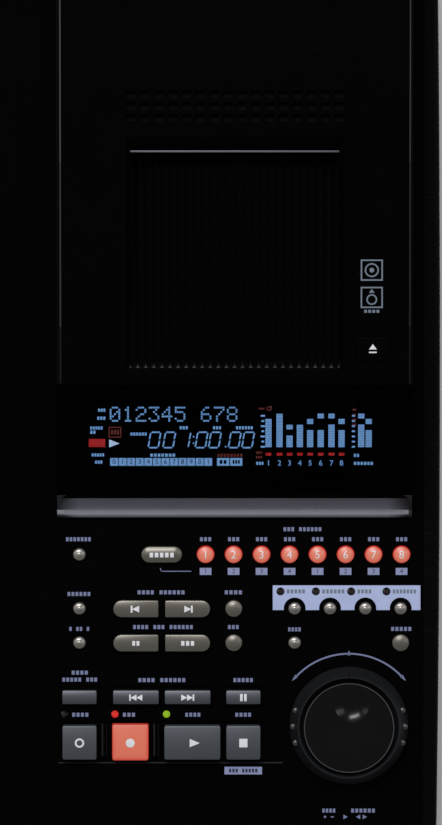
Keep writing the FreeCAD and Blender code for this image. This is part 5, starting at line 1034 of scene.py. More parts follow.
def start_cap(name, size_x, size_y, wall, left_radius, right_radius):
    """The flange of a cap and the walls above it up to the panel's surface: ends in edit mode with
    the top face selected. A radius of half the width makes a round end."""
    under = -wall - RUNNING_GAP
    foot = Vector((0, 0, (under - FLANGE_T) * MM))
    deselect()
    is_round = left_radius * 2 >= size_x
    if is_round:
        bpy.ops.mesh.primitive_circle_add(
            vertices=ROUND_STEPS, radius=(size_x / 2 + FLANGE) * MM, fill_type="NGON",
            location=foot,
        )
    else:
        bpy.ops.mesh.primitive_plane_add(size=MM, location=foot)
    cap = bpy.context.object
    settle(cap)
    bpy.ops.object.mode_set(mode="EDIT")
    if not is_round:
        stretch(size_x + 2 * FLANGE, size_y + 2 * FLANGE, 1, foot)
        reach = (size_y / 2 + FLANGE) * MM
        for side, radius in ((-1, left_radius), (1, right_radius)):
            pick_corners(cap, lambda co: co.x * side > 0 and abs(abs(co.y) - reach) < SAME_PLACE)
            bpy.ops.mesh.bevel(
                offset=(min(radius, size_y / 2 - ROUND_SLACK) + FLANGE) * MM, offset_type="OFFSET",
                segments=sizes().round_steps, affect="VERTICES",
            )
        bpy.ops.mesh.select_all(action="SELECT")
        bpy.ops.mesh.remove_doubles(threshold=CORNER_MERGE * MM)
    cap.name = name
    bpy.ops.mesh.select_mode(type="FACE")
    bpy.ops.mesh.select_all(action="SELECT")
    raise_face(FLANGE_T)
    step_in(FLANGE, 0)
    raise_face(-under)
    return cap


def round_off(edge, steps=4):
    """Rounds the shoulder of the selected top face by quarter-circle steps."""
    for i in range(steps):
        low, high = math.pi / 2 * i / steps, math.pi / 2 * (i + 1) / steps
        step_in(edge * (math.cos(low) - math.cos(high)), edge * (math.sin(high) - math.sin(low)))


def crown(reach, height, steps=5):
    """Bulges the selected top face by shallow steps towards its middle."""
    for i in range(steps):
        outer, inner = 1 - i / (steps + 1), 1 - (i + 1) / (steps + 1)
        step_in(reach * (outer - inner), height * (outer**2 - inner**2))


def add_stem(cap, wall, travel):
    """A square stem under the flange, down to the switch's plunger."""
    if bpy.context.mode != "EDIT_MESH":
        pick(cap)
        bpy.ops.object.mode_set(mode="EDIT")
    top = -wall - RUNNING_GAP - FLANGE_T + STEM_ROOT
    foot = SWITCH_TOP + travel + RUNNING_GAP
    middle = Vector((0, 0, (top + foot) / 2 * MM))
    bpy.ops.mesh.primitive_cube_add(size=MM, location=middle)
    stretch(STEM, STEM, top - foot, middle)
    bpy.ops.object.mode_set(mode="OBJECT")


def domed_cap(name, size_x, size_y, rise, end_radius, edge, height):
    """A round or pill-shaped cap with a rounded shoulder and a gently domed top."""
    cap = start_cap(name, size_x, size_y, WALL, end_radius, end_radius)
    raise_face(rise - edge - height)
    round_off(edge)
    crown(size_y / 2 - edge, height)
    add_stem(cap, WALL, ROUND_TRAVEL)
    smooth(cap)
    return cap


def crowned_cap(name, size_x, size_y, rise, radii, crown_radius, edge, travel, wall=WALL):
    """A cap whose top is part of a large cylinder lying across the deck, with softened edges."""
    cap = start_cap(name, size_x, size_y, wall, *radii)
    raise_face(rise + SPARE_RISE)
    deselect()
    bpy.ops.mesh.primitive_cylinder_add(
        vertices=CROWN_STEPS, radius=crown_radius * MM, depth=2 * size_x * MM,
        location=(0, 0, (rise - crown_radius) * MM), rotation=(0, math.pi / 2, 0),
    )
    barrel = bpy.context.object
    apply_modifier(cap, "BOOLEAN", object=barrel, operation="INTERSECT", solver="EXACT")
    discard(barrel)
    apply_modifier(
        cap, "BEVEL", width=edge * MM, segments=3, limit_method="ANGLE", angle_limit=BEND
    )
    add_stem(cap, wall, travel)
    smooth(cap)
    return cap


def cap_recipes():
    """For each family of keys, what makes its cap and what that is given after the name."""
    s = sizes()
    small, large, pill = s.small_key / MM, s.large_key / MM, s.pill_width / MM
    edge, shoulder, dome = s.cap_edge / MM, s.dome_edge / MM, s.large_dome / MM
    side, record = s.transport / MM, s.record / MM
    flat, barrel, arch = s.transport_crown / MM, s.song_crown / MM, s.pill_crown / MM
    tight, wide = (SMALL_CORNER, SMALL_CORNER), (LARGE_CORNER, LARGE_CORNER)
    button = (small, small, SMALL_RISE, small / 2, shoulder + SMALL_SHOULDER, s.small_dome / MM)
    disc = (large, large, ROUND_RISE, large / 2, shoulder, dome)
    search = (SEARCH_WIDTH, pill, ROUND_RISE)
    arched = (arch, edge, ROUND_TRAVEL)
    song = (SONG_DEPTH, SONG_RISE, tight, barrel, edge, SONG_TRAVEL)
    square = (TRANSPORT_RISE, wide, flat, edge, TRANSPORT_TRAVEL)
    eject = (*EJECT_SIZE, EJECT_RISE, wide, EJECT_CROWN, EJECT_EDGE, SONG_TRAVEL, DECK_WALL)
    return {
        "small": (domed_cap, *button),
        "large": (domed_cap, *disc),
        "select": (domed_cap, *disc),
        "group": (domed_cap, GROUP_WIDTH, pill, ROUND_RISE, pill / 2, shoulder, dome),
        "left": (crowned_cap, *search, (pill / 2, SMALL_CORNER), *arched),
        "right": (crowned_cap, *search, (SMALL_CORNER, pill / 2), *arched),
        "short": (crowned_cap, side, *song),
        "long": (crowned_cap, SONG_WIDTH, *song),
        "square": (crowned_cap, side, side, *square),
        "record": (crowned_cap, record, record, *square),
        "wide": (crowned_cap, PLAY_WIDTH, side, *square),
        "eject": (crowned_cap, *eject),
    }


def make_master(family):
    """The one cap of a family that the keys of that family are copied from."""
    make, *measures = cap_recipes()[family]
    return make(family + "_cap_master", *measures)


KEY_FINISH = {
    "small": "key_taupe", "large": "key_taupe", "group": "key_taupe", "left": "key_taupe",
    "right": "key_taupe", "select": "key_lit", "short": "key_slate", "long": "key_slate",
    "square": "key_slate", "wide": "key_slate", "record": "key_red", "eject": "key_black",
}


def draw_symbol(drawing, key):
    """The symbol of one key, drawn round the origin. Returns False where the key has none."""
    bar, triangle = drawing.bar, drawing.triangle
    way = -1 if key in ("song_back_key", "mark_back_key") else 1
    turn = RIGHT * way
    if key == "play_key":
        triangle(0.3, 0, 3.6, 4.3, RIGHT)
    elif key == "stop_key":
        bar(0, 0, 3.5, 3.7)
    elif key == "rehearse_key":
        drawing.ring(0, 0, 2.0, 0.75, 40)
    elif key == "record_key":
        drawing.disc(0, 0, 1.9)
    elif key == "pause_key":
        bar(-0.85, 0, 1.1, 3.1)
        bar(0.85, 0, 1.1, 3.1)
    elif key in ("song_back_key", "song_forward_key"):
        triangle(-1.9 * way, 0, 2.7, 2.6, turn)
        triangle(0.6 * way, 0, 2.7, 2.6, turn)
        bar(2.5 * way, 0, 0.7, 2.7)
    elif key in ("mark_back_key", "mark_forward_key"):
        triangle(-0.4 * way, 0, 2.9, 3.1, turn)
        bar(1.8 * way, 0, 0.8, 3.0)
    elif key == "group_key":
        drawing.marks(0, 0, 11.0, (5,), 2.0)
    elif key == "search_in_key":
        drawing.marks(0, 0, 3.6, (2,), 2.0)
    elif key == "search_out_key":
        drawing.marks(0, 0, 6.2, (3,), 2.0)
    elif key == "eject_key":
        triangle(0, 0.5, 3.3, 2.3, REAR)
        bar(0, -1.5, 3.3, 0.6)
    elif key.startswith("record_select_key_"):
        drawing.numeral(key[-1], 0, 0, sizes().numeral / MM)
    else:
        return False
    return True


class MINIDISC_DECK_OT_keys(bpy.types.Operator):
    """Models the keycaps of each family once and sets a copy with its symbol on every key"""

    bl_idname = "minidisc_deck.keys"
    bl_label = "Keycaps"

    def execute(self, context):
        masters = {}
        for key, x, y, family in KEYS:
            if family not in masters:
                masters[family] = make_master(family)
            surface = DECK if family == "eject" else PANEL
            place = surface.place(x, y)
            slot = KEY_FINISH[family]
            cap = copy_of(masters[family], key + "_cap")
            settle(cap, place)
            # the small round keys get the lighter taupe, a painted sheen
            dress(cap, "key_dome" if family == "small" else slot)
            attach(cap, key)
            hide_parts(key)
            drawing = Drawing(key + "_symbol", BENCH)
            if not draw_symbol(drawing, key):
                bpy.ops.object.mode_set(mode="OBJECT")
                discard(drawing.piece)
                continue
            self.print_symbol(drawing, masters[family], place, key)
        discard(*masters.values())
        return {"FINISHED"}

    def print_symbol(self, drawing, master, place, key):
        """Lays a drawn symbol on the cap's curved top, gives it its thickness and places it."""
        bpy.ops.mesh.select_all(action="SELECT")
        bpy.ops.mesh.quads_convert_to_tris()
        bpy.ops.mesh.subdivide(number_cuts=2)
        symbol = drawing.piece
        bpy.ops.transform.translate(value=(0, 0, 10 * MM))
        bpy.ops.object.mode_set(mode="OBJECT")
        apply_modifier(
            symbol, "SHRINKWRAP", target=master, wrap_method="PROJECT", use_project_z=True,
            use_negative_direction=True, use_positive_direction=False,
            offset=SYMBOL_LIFT * MM, wrap_mode="ABOVE_SURFACE",
        )
        apply_modifier(symbol, "SOLIDIFY", thickness=sizes().ink, offset=1)
        settle(symbol, place)
        dress(symbol, "ink_white")
        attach(symbol, key)


# ------------------------------------------------------------------ printed legends

# x, y, width, letters in each word
LEGENDS = [
    (-59.4, 139.2, 11.1, (7,)),
    (-59.2, 115.7, 10.3, (6,)),
    (-59.1, 100.7, 9.0, (1, 2, 1)),
    (-24.0, 116.4, 20.7, (4, 6)),
    (7.0, 116.4, 8.0, (4,)),
    (-23.2, 101.5, 26.1, (4, 3, 6)),
    (7.0, 101.5, 5.1, (3,)),
    (33.2, 100.5, 5.8, (4,)),
    (79.0, 100.7, 9.2, (5,)),
    (-58.9, 81.9, 7.5, (4,)),
    (-58.9, 78.9, 15.4, (5, 3)),
    (-23.7, 78.7, 20.7, (4, 6)),
    (11.2, 78.7, 8.9, (5,)),
    (-58.7, 63.8, 7.5, (4,)),
    (-37.8, 63.8, 5.8, (3,)),
    (-10.4, 63.8, 7.0, (4,)),
    (11.2, 63.8, 7.3, (4,)),
    (36.6, 143.5, 16.7, (3, 6)),
    (48.0, 22.5, 6.0, (4,)),
    (62.7, 22.5, 10.7, (6,)),
]

BAND_TEXT_Y = 116.8
CUTTER_DEPTH = 1.0
ARC_WIDTH = 0.7
ARC_REACH = math.radians(48.5)  # each way from the arc's middle


class MINIDISC_DECK_OT_legends(bpy.types.Operator):
    """Prints the legends, the function band, the arc round the dial and the disc pictograms"""

    bl_idname = "minidisc_deck.legends"
    bl_label = "Legends"

    def execute(self, context):
        self.marks()
        self.band()
        self.arc()
        self.pictograms()
        return {"FINISHED"}

    def marks(self):
        drawing = Drawing("panel_legends", PANEL)
        for legend in LEGENDS:
            drawing.marks(*legend)
        for x in SELECT_X:
            drawing.marks(x, 139.2, 5.3, (3,))
        drawing.bar(-17.3, 125.45, 12.4, 0.35)
        drawing.slanted(-23.85, 126.15, 0.35, 1.4, -0.5)
        for x, turn in ((54.9, RIGHT), (60.9, LEFT), (63.2, RIGHT)):
            drawing.triangle(x, 19.8, 2.0, 1.8, turn)
        drawing.disc(46.4, 19.8, 0.5, 16)
        drawing.bar(49.5, 19.8, 1.3, 0.45)
        drawing.set_down("deck", "ink")

        boxes = Drawing("select_number_boxes", PANEL)
        for x in SELECT_X:
            boxes.bar(x, 125.4, 5.0, 3.0)
        boxes.bar(11.25, 39.75, 16.1, 3.3)
        boxes.set_down("deck", "tab")
        numbers = Drawing("select_numbers", PANEL)
        for i, x in enumerate(SELECT_X):
            numbers.numeral(str(i % 4 + 1), x, 125.4, 2.0)
        numbers.marks(11.25, 39.75, 12.6, (3, 5), 1.6)
        numbers.set_down("deck", "ink_black", lift=OVERPRINT_LIFT)

    def band(self):
        """The lavender band over the function keys, cut back round the keys and lamps."""
        band = Drawing("function_band", PANEL)
        band.bar(55.55, 114.1, 63.3, 10.6)
        piece = band.solidify(sizes().ink)
        cutters = Drawing("function_band_cutters", PANEL)
        for x in FUNCTION_X:
            cutters.disc(x, 109.5, 4.7, 48)
            cutters.disc(x - 6.1, BAND_TEXT_Y, 1.75, 32)
        cutter = cutters.solidify(CUTTER_DEPTH * MM)
        settle(cutter, Matrix.Translation(-UP * CUTTER_DEPTH / 2 * MM))
        apply_modifier(piece, "BOOLEAN", object=cutter, operation="DIFFERENCE", solver="EXACT")
        discard(cutter)
        settle(piece, PANEL.place(0, 0, INK_LIFT))
        dress(piece, "band")
        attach(piece, "deck")
        words = Drawing("function_band_marks", PANEL)
        for x, width, letters in zip(FUNCTION_X, (8.2, 10.0, 6.4, 10.4), (5, 6, 4, 7)):
            words.marks(x - 3.2 + width / 2 - 0.4, BAND_TEXT_Y, width, (letters,), 1.7)
        words.set_down("deck", "ink_grey", lift=OVERPRINT_LIFT)

    def arc(self):
        """The turning arc behind the dial, with a tick in its middle and arrowheads at its ends."""
        radius = sizes().dial_arc / MM
        arc = Drawing("dial_arc", PANEL)
        arc.ring(*DIAL, radius + ARC_WIDTH / 2, ARC_WIDTH, 180)
        middle = arc.at(*DIAL)
        pick_faces(
            arc.piece, lambda co: math.atan2(abs(co.x - middle.x), co.y - middle.y) > ARC_REACH
        )
        bpy.ops.mesh.delete(type="FACE")
        for way in (-1, 1):
            angle = ARC_REACH * way
            x = DIAL[0] + radius * math.sin(angle)
            y = DIAL[1] + radius * math.cos(angle)
            arc.triangle(x, y, 1.5, 3.0, angle + way * RIGHT)
        arc.bar(DIAL[0], DIAL[1] + radius, 0.6, 1.9)
        arc.set_down("deck", "ink")

    def pictograms(self):
        """Two plain pictograms behind the eject key: a disc, and a disc going in."""
        signs = Drawing("disc_pictograms", DECK)
        for y in (254.1, 242.5):
            signs.outline(65.9, y, 9.4, 9.0, 0.6)
        signs.ring(65.9, 254.1, 3.0, 0.6, 40)
        signs.disc(65.9, 254.1, 1.0, 24)
        signs.ring(65.9, 241.6, 2.3, 0.6, 32)
        signs.triangle(65.9, 245.0, 2.4, 1.6, REAR)
        signs.marks(65.9, 236.6, 7.0, (4,), 1.2)
        signs.set_down("deck", "ink_grey")


# ------------------------------------------------------------------ display

SEGMENTS = {"0": "abcdef", "1": "bc"}  # which of a figure's seven segments the counter lights
# name, how far right and how far up its middle is, and whether it stands
SEGMENT_PLACES = (
    ("a", 0, 1, False), ("b", 1, 0.5, True), ("c", 1, -0.5, True), ("d", 0, -1, False),
    ("e", -1, -0.5, True), ("f", -1, 0.5, True), ("g", 0, 0, False),
)
DOTS = {  # five by seven dots of each figure, one string of rows from the top
    "0": "01110 10001 10011 10101 11001 10001 01110",
    "1": "00100 01100 00100 00100 00100 00100 01110",
    "2": "01110 10001 00001 00110 01000 10000 11111",
    "3": "11111 00010 00100 00010 00001 10001 01110",
    "4": "00010 00110 01010 10010 11111 00010 00010",
    "5": "11111 10000 11110 00001 00001 10001 01110",
    "6": "00110 01000 10000 11110 10001 10001 01110",
    "7": "11111 00001 00010 00100 01000 01000 01000",
    "8": "01110 10001 10001 01110 10001 10001 01110",
}
COUNTER = (
    (-26.7, "0"), (-20.4, "0"), (-13.9, "1"), (-6.6, "0"), (-0.9, "0"), (7.6, "0"), (13.3, "0"),
)
# x, then (bottom, top) of each lit block
METERS = [
    (22.0, (178.7, 190.8)),
    (26.7, (178.7, 193.0)),
    (31.0, (178.7, 183.7), (186.3, 188.3)),
    (35.4, (178.7, 188.3)),
    (39.8, (178.7, 186.0), (188.6, 190.8)),
    (44.3, (178.7, 186.0), (191.0, 193.1)),
    (48.9, (178.7, 188.4), (191.0, 193.1)),
    (53.2, (178.7, 186.0), (188.6, 190.8)),
    (61.6, (178.7, 188.4), (191.0, 193.1)),
    (64.8, (178.7, 186.0), (188.6, 190.8)),
]
# x, y, width, letters
DISPLAY_LEGENDS = (
    (-49.2, 194.5, 3.4, 3), (-49.4, 191.1, 3.8, 3), (-51.5, 186.9, 5.6, 5),
    (-53.0, 185.1, 2.6, 2), (-33.5, 184.3, 7.3, 6), (-14.2, 187.0, 3.8, 3),
    (0.0, 187.0, 3.8, 3), (11.7, 187.0, 7.5, 6), (-50.9, 175.4, 5.6, 5),
    (-50.6, 172.3, 3.4, 3), (-23.2, 175.3, 11.1, 7), (59.6, 175.2, 2.6, 2),
    (62.6, 171.8, 8.6, 6), (18.3, 171.8, 3.4, 3),
)
TITLE = "012345 678"
MARKER_Y = 172.4  # the row of marker boxes
MARKER_X = [-44.0 + i * 3.66 for i in range(12)]
IN_OUT_X = (2.6, 8.2)  # the two boxes beside them
METER_SCALE_X = 18.0


class MINIDISC_DECK_OT_display(bpy.types.Operator):
    """Draws the lit segments on the display tube's glass"""

    bl_idname = "minidisc_deck.display"
    bl_label = "Display"

    def execute(self, context):
        blue = Drawing("display_blue_segments", TUBE)
        self.title(blue)
        self.counter(blue)
        self.meters(blue)
        self.small_marks(blue)
        blue.set_down("deck", "phosphor")
        self.boxed_numbers()
        self.red_segments()
        self.white_segments()
        return {"FINISHED"}

    def title(self, drawing):
        """The name's row: figures of five by seven dots."""
        pitch, dot = 0.92, 0.72
        first, figure_pitch, top, row_pitch = -45.4, 5.56, 195.6, pitch * 1.02
        for place, figure in enumerate(TITLE):
            if figure == " ":
                continue
            left = first + place * figure_pitch
            for row, dots in enumerate(DOTS[figure].split()):
                for column, lit in enumerate(dots):
                    if lit == "1":
                        drawing.bar(left + column * pitch, top - row * row_pitch, dot, dot)

    def counter(self, drawing):
        """The time counter's leaning seven-segment figures and their points."""
        tall, wide, thick, lean = 6.6, 4.3, 0.62, 1.1
        middle = 181.8
        for x, figure in COUNTER:
            lit = SEGMENTS[figure]
            for name, across, up, upright in SEGMENT_PLACES:
                if name not in lit:
                    continue
                shift = lean * up / 2
                at_x, at_y = x + across * wide / 2 + shift, middle + up * tall / 2
                if upright:
                    drawing.slanted(at_x - lean / 4, at_y, thick, tall / 2 - 0.7, lean / 2)
                else:
                    drawing.bar(at_x, at_y, wide - 0.8, thick)
        for y in (183.2, 180.4):
            drawing.bar(-10.0, y, 0.6, 0.6)
        drawing.bar(3.7, 178.9, 0.6, 0.6)

    def meters(self, drawing):
        """Level bars, built of short stacked cells."""
        width = sizes().meter_bar / MM
        cell = 0.75
        for x, *blocks in METERS:
            for bottom, top in blocks:
                count = max(1, round((top - bottom) / cell))
                step = (top - bottom) / count
                for i in range(count):
                    drawing.bar(x, bottom + (i + 0.5) * step, width, step * 0.84)

    def small_marks(self, drawing):
        """Scale ticks and the short legends of the display."""
        for i in range(7):
            drawing.bar(19.6, 178.9 + i * 2.2, 1.8 if i % 2 == 0 else 1.1, 0.75)
            drawing.bar(58.3, 178.9 + i * 2.2, 1.3, 0.7)
        for x, y, width, letters in DISPLAY_LEGENDS:
            drawing.marks(x, y, width, (letters,), 1.3)

    def boxed_numbers(self):
        """Marker boxes with their dark numbers, and the numbers under the level bars."""
        boxes = Drawing("display_marker_boxes", TUBE)
        for x in MARKER_X:
            boxes.bar(x, MARKER_Y, 3.3, 3.3)
        for x in IN_OUT_X:
            boxes.bar(x, MARKER_Y, 5.2, 3.3)
        boxes.set_down("deck", "phosphor")
        dark = Drawing("display_marker_numbers", TUBE)
        for i, x in enumerate(MARKER_X):
            dark.numeral(str(i % 10), x, MARKER_Y, 2.2)
        for x, letters in zip(IN_OUT_X, (2, 3)):
            dark.marks(x, MARKER_Y, 3.4, (letters,), 1.6)
        dark.set_down("deck", "tube_glass", lift=OVERPRINT_LIFT)
        lit = Drawing("display_meter_numbers", TUBE)
        for i, (x, *_) in enumerate(METERS[:8]):
            lit.numeral(str(i + 1), x, 171.8, 2.4)
        lit.set_down("deck", "phosphor")

    def red_segments(self):
        red = Drawing("display_red_segments", TUBE)
        red.bar(-51.3, 180.5, 7.0, 3.4)
        for x, *_ in METERS[:8]:
            red.bar(x, 175.7, 2.4, 1.2)
        red.set_down("deck", "phosphor_red")
        dim = Drawing("display_dim_segments", TUBE)
        dim.outline(-43.6, 185.1, 5.4, 4.6, 0.45)
        dim.marks(-43.6, 185.1, 3.8, (3,), 2.0)
        dim.marks(5.5, 175.2, 11.1, (8,), 1.3)
        for y in (176.4, 174.4):
            dim.marks(METER_SCALE_X, y, 2.9, (3,), 1.1)
        dim.bar(19.0, 195.2, 2.6, 0.7)
        dim.outline(22.2, 195.2, 1.9, 1.7, 0.4)
        for i in range(4):
            dim.bar(58.6, 188.4 + i * 2.1, 1.6, 0.7)
        dim.set_down("deck", "phosphor_dim")

    def white_segments(self):
        white = Drawing("display_pointer", TUBE)
        white.triangle(-44.6, 180.3, 3.5, 4.4, RIGHT)
        white.set_down("deck", "phosphor_white")


# ------------------------------------------------------------------ chute, vents and dial

BROW_LIP_Y = 305.0  # front face of the brow's lip
BROW_LIP_Z = 87.4  # and its middle height
BROW_STRIP = (89.2, 0.9, 0.65)
STRIP_EDGE = 0.22
VENT_CLOTH = (7.5, 323.6, 98.0, 16.4)  # middle x and y, width and height
CLOTH_THICKNESS = 0.3
CLOTH_LIFT = -DECK_WALL - 0.32
WINDOW_BORDER = (7.5, 181.68, 151.4, 48.3)  # middle x and y, width and height
BORDER_WIDTH = 4.0
BORDER_LIFT = 2.55  # above the tube's glass
DIAL_RIM = (19.32, 0.42, 96)  # radius, width and corners of the bead's crest
DIAL_TOP = 9.61  # crest's height above the panel
RIM_THICKNESS = 0.03
GRIP_RADIUS = 1.35
GRIP_CIRCLE = 23.9
GRIP_STEP = 17.0  # degrees
GRIP_FOOT = 2.2  # above the panel
GRIP_TOP = 5.9
GRIP_EDGE = 0.7
GRIP_DOME = 0.2


class MINIDISC_DECK_OT_trim(bpy.types.Operator):
    """Models the slot's strip of painted highlight, the vents' cloth, the window's border and the
    dial's grips
    """

    bl_idname = "minidisc_deck.trim"
    bl_label = "Trim"

    def execute(self, context):
        self.brow_strip()
        self.vent_cloth()
        self.window_border()
        self.dial_rim()
        self.grips()
        return {"FINISHED"}

    def brow_strip(self):
        """A slim strip with softened edges, on the front of the brow's lip; its pale grey paints
        the lip edge's highlight.
        """
        low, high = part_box("disc_chute")
        y = BROW_LIP_Y - BROW_STRIP[1] / 2 - FRONT_Y
        middle = Vector(((low.x + high.x) / 2, y * MM, BROW_LIP_Z * MM))
        deselect()
        bpy.ops.mesh.primitive_cube_add(size=MM, location=middle)
        strip = bpy.context.object
        strip.name = "slot_brow_strip"
        strip.scale = BROW_STRIP
        settle(strip)
        apply_modifier(strip, "BEVEL", width=STRIP_EDGE * MM, segments=3, limit_method="ANGLE")
        smooth(strip)
        dress(strip, "brow_trim")
        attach(strip, "deck")

    def vent_cloth(self):
        """Dust cloth glued under the deck's wall, behind the rows of vents."""
        cloth = Drawing("vent_cloth", DECK)
        cloth.bar(*VENT_CLOTH)
        bpy.ops.mesh.subdivide(number_cuts=6)
        cloth.set_down("deck", "vent_cloth", CLOTH_THICKNESS * MM, CLOTH_LIFT)

    def window_border(self):
        """The black border printed inside the window's edges, down against its underside."""
        border = Drawing("window_border", TUBE)
        border.bar(*WINDOW_BORDER)
        border.hollow(BORDER_WIDTH)
        border.set_down("deck", "border_black", lift=BORDER_LIFT)

    def dial_rim(self):
        """A pale ring round the dial's top, which paints the highlight of its bead."""
        rim = Drawing("dial_rim", PANEL)
        rim.ring(*DIAL, *DIAL_RIM)
        rim.set_down("jog_dial", "rim_polish", RIM_THICKNESS * MM, DIAL_TOP)

    def grips(self):
        """Round-topped pegs on the shuttle ring's cone, three at each side."""
        deselect()
        bpy.ops.mesh.primitive_circle_add(vertices=24, radius=GRIP_RADIUS * MM, fill_type="NGON")
        master = bpy.context.object
        bpy.ops.object.mode_set(mode="EDIT")
        raise_face(GRIP_TOP - GRIP_FOOT - (GRIP_EDGE + GRIP_DOME))
        round_off(GRIP_EDGE)
        crown(GRIP_RADIUS - GRIP_EDGE, GRIP_DOME, 3)
        bpy.ops.object.mode_set(mode="OBJECT")
        smooth(master)
        for side in (0, 180):
            for step in (-1, 0, 1):
                angle = math.radians(side + step * GRIP_STEP)
                spot = Vector((math.cos(angle), math.sin(angle), 0)) * GRIP_CIRCLE * MM
                spot.z = GRIP_FOOT * MM
                grip = copy_of(master, f"shuttle_grip_{side // 180 * 3 + step + 2}")
                settle(grip, PANEL.place(*DIAL) @ Matrix.Translation(spot))
                dress(grip, "grip_grey")
                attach(grip, "shuttle_ring")
        discard(master)


# ------------------------------------------------------------------ back

JACKS = [(x, z) for x in (-72.0, -58.0, -44.0) for z in (22.0, 38.0)] + [(-24.0, 30.0)]
# the pin jacks' collars: red below, white above, orange on the last
JACK_TONES = ("collar_red", "collar_white") * 3 + ("collar_orange",)
COLLAR_RADIUS = 3.9
COLLAR_WIDTH = 1.9
COLLAR_DEPTH = 0.6
COLLAR_SINK = 0.3  # how far a collar is let into its socket


class MINIDISC_DECK_OT_sockets(bpy.types.Operator):
    """Fits coloured collars in the pin jacks"""

    bl_idname = "minidisc_deck.sockets"
    bl_label = "Rear Sockets"

    def execute(self, context):
        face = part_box("rear_sockets")[1].y
        master = self.collar()
        for i, ((x, z), tone) in enumerate(zip(JACKS, JACK_TONES)):
            collar = copy_of(master, f"jack_collar_{i + 1}")
            spot = Vector(((x + MIDDLE_X) * MM, face - COLLAR_SINK * MM, z * MM))
            settle(collar, Matrix.Translation(spot) @ Matrix.Rotation(-math.pi / 2, 4, "X"))
            dress(collar, tone)
            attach(collar, "deck")
        discard(master)
        return {"FINISHED"}

    def collar(self):
        """A flat moulded ring with a rounded rim, facing up at the origin."""
        deselect()
        bpy.ops.mesh.primitive_circle_add(
            vertices=40, radius=COLLAR_RADIUS * MM, fill_type="NGON"
        )
        ring = bpy.context.object
        ring.name = "collar_master"
        bpy.ops.object.mode_set(mode="EDIT")
        step_in(COLLAR_WIDTH, 0)
        bpy.ops.mesh.delete(type="FACE")
        bpy.ops.object.mode_set(mode="OBJECT")
        apply_modifier(ring, "SOLIDIFY", thickness=COLLAR_DEPTH * MM, offset=1)
        apply_modifier(ring, "BEVEL", width=0.2 * MM, segments=3, limit_method="ANGLE")
        smooth(ring)
        return ring


# ------------------------------------------------------------------ finishes and stage

OWN_FINISH = {"deck_housing": "black_deck", "shuttle_ring": "ring_black"}  # instead of the slot's
FLOOR_SIZE = 120.0
SIDE_SOFTBOX = (0.7, 1.4)
LIGHT_AIM = Vector((0, 0, 0.05))
CAMERA_AIM = Vector((3.96, -1.5, 60.0)) * MM
ROOM_TINT = (0.95, 0.97, 1.0, 1.0)


class MINIDISC_DECK_OT_finishes(bpy.types.Operator):
    """Makes every finish and gives each construction node its own"""

    bl_idname = "minidisc_deck.finishes"
    bl_label = "Finishes"

    def execute(self, context):
        FINISHES.update(make_finishes())
        for node in FRAME["nodes"].values():
            for slot in node.material_slots:
                slot.material = FINISHES[slot.material.name.split(".")[0]]
        for name, finish in OWN_FINISH.items():
            dress(FRAME["nodes"][name], finish)
        return {"FINISHED"}


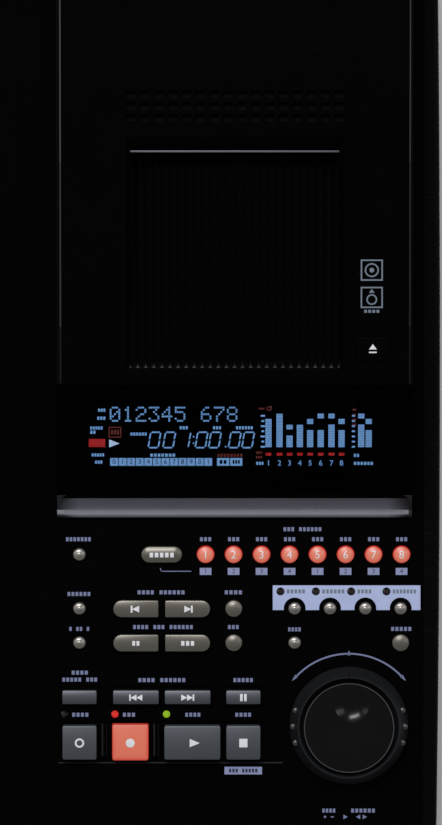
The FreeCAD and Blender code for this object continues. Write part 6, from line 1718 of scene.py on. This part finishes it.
class MINIDISC_DECK_OT_stage(bpy.types.Operator):
    """Sets up the floor, the soft light and the camera above the deck"""

    bl_idname = "minidisc_deck.stage"
    bl_label = "Stage"

    def execute(self, context):
        s = studio()
        self.floor(s)
        self.light("rear_softbox", (-0.4, 1.3, 2.1), (1.7, 0.42), s.rear_light)
        self.light("left_softbox", (-1.9, 0.35, 1.0), SIDE_SOFTBOX, s.side_light)
        self.light("right_softbox", (1.7, 0.4, 1.3), SIDE_SOFTBOX, s.side_light * 1.5)
        self.world(context.scene, s)
        self.camera(context.scene, s)
        context.scene.view_settings.view_transform = "Standard"
        return {"FINISHED"}

    def floor(self, s):
        deselect()
        bpy.ops.mesh.primitive_plane_add(size=FLOOR_SIZE)
        floor = bpy.context.object
        floor.name = "floor"
        finish = Finish("Pale Floor", Roughness=0.8, Specular_IOR_Level=0.2)
        tone = finish.spread(finish.noise(finish.place(), 3.0), 0.985, 1.015)
        finish.set(Base_Color=finish.scale(tuple(s.floor), tone))
        floor.data.materials.append(finish.material)

    def light(self, name, spot, size, power):
        deselect()
        bpy.ops.object.light_add(type="AREA", location=spot)
        lamp = bpy.context.object
        lamp.name = name
        lamp.data.shape = "RECTANGLE"
        lamp.data.size, lamp.data.size_y = size
        lamp.data.energy = power
        aim = LIGHT_AIM - Vector(spot)
        lamp.rotation_euler = aim.to_track_quat("-Z", "Y").to_euler()
        lamp.visible_camera = False

    def world(self, scene, s):
        """Plain, even room light."""
        world = bpy.data.worlds.new("Studio")
        world.use_nodes = True
        scene.world = world
        room = world.node_tree.nodes["Background"]
        room.inputs["Color"].default_value = ROOM_TINT
        room.inputs["Strength"].default_value = s.ambient

    def camera(self, scene, s):
        data = bpy.data.cameras.new("camera")
        camera = bpy.data.objects.new("camera", data)
        scene.collection.objects.link(camera)
        camera.location = CAMERA_AIM + UP * s.camera_height
        data.sensor_fit = "AUTO"
        data.lens = data.sensor_width * s.camera_height / s.frame_height
        data.clip_end = 100.0
        scene.camera = camera


class MINIDISC_DECK_PT_panel(bpy.types.Panel):
    """Lists the steps that make the deck, with their sizes and colours"""

    bl_idname = "MINIDISC_DECK_PT_panel"
    bl_label = "Minidisc Deck"
    bl_space_type = "VIEW_3D"
    bl_region_type = "UI"
    bl_category = "Minidisc Deck"

    def draw(self, context):
        column = self.layout.column(align=True)
        for step in STEPS:
            column.operator(step.bl_idname)
        for settings in (sizes(), colours(), studio()):
            box = self.layout.box()
            for key in settings.bl_rna.properties.keys():
                if key not in ("rna_type", "name"):
                    box.prop(settings, key)


STEPS = (
    MINIDISC_DECK_OT_finishes,
    MINIDISC_DECK_OT_keys,
    MINIDISC_DECK_OT_legends,
    MINIDISC_DECK_OT_display,
    MINIDISC_DECK_OT_trim,
    MINIDISC_DECK_OT_sockets,
    MINIDISC_DECK_OT_stage,
)
SETTINGS = {
    "minidisc_deck_sizes": MinidiscDeckSizes,
    "minidisc_deck_colours": MinidiscDeckColours,
    "minidisc_deck_studio": MinidiscDeckStudio,
}


def register():
    for made in (*SETTINGS.values(), *STEPS, MINIDISC_DECK_PT_panel):
        bpy.utils.register_class(made)
    for name, settings in SETTINGS.items():
        setattr(bpy.types.Scene, name, PointerProperty(type=settings))


def unregister():
    for name in SETTINGS:
        delattr(bpy.types.Scene, name)
    for made in reversed((*SETTINGS.values(), *STEPS, MINIDISC_DECK_PT_panel)):
        bpy.utils.unregister_class(made)


def main():
    register()
    for step in STEPS:
        space, name = step.bl_idname.split(".")
        getattr(getattr(bpy.ops, space), name)()


if __name__ == "__main__":
    main()
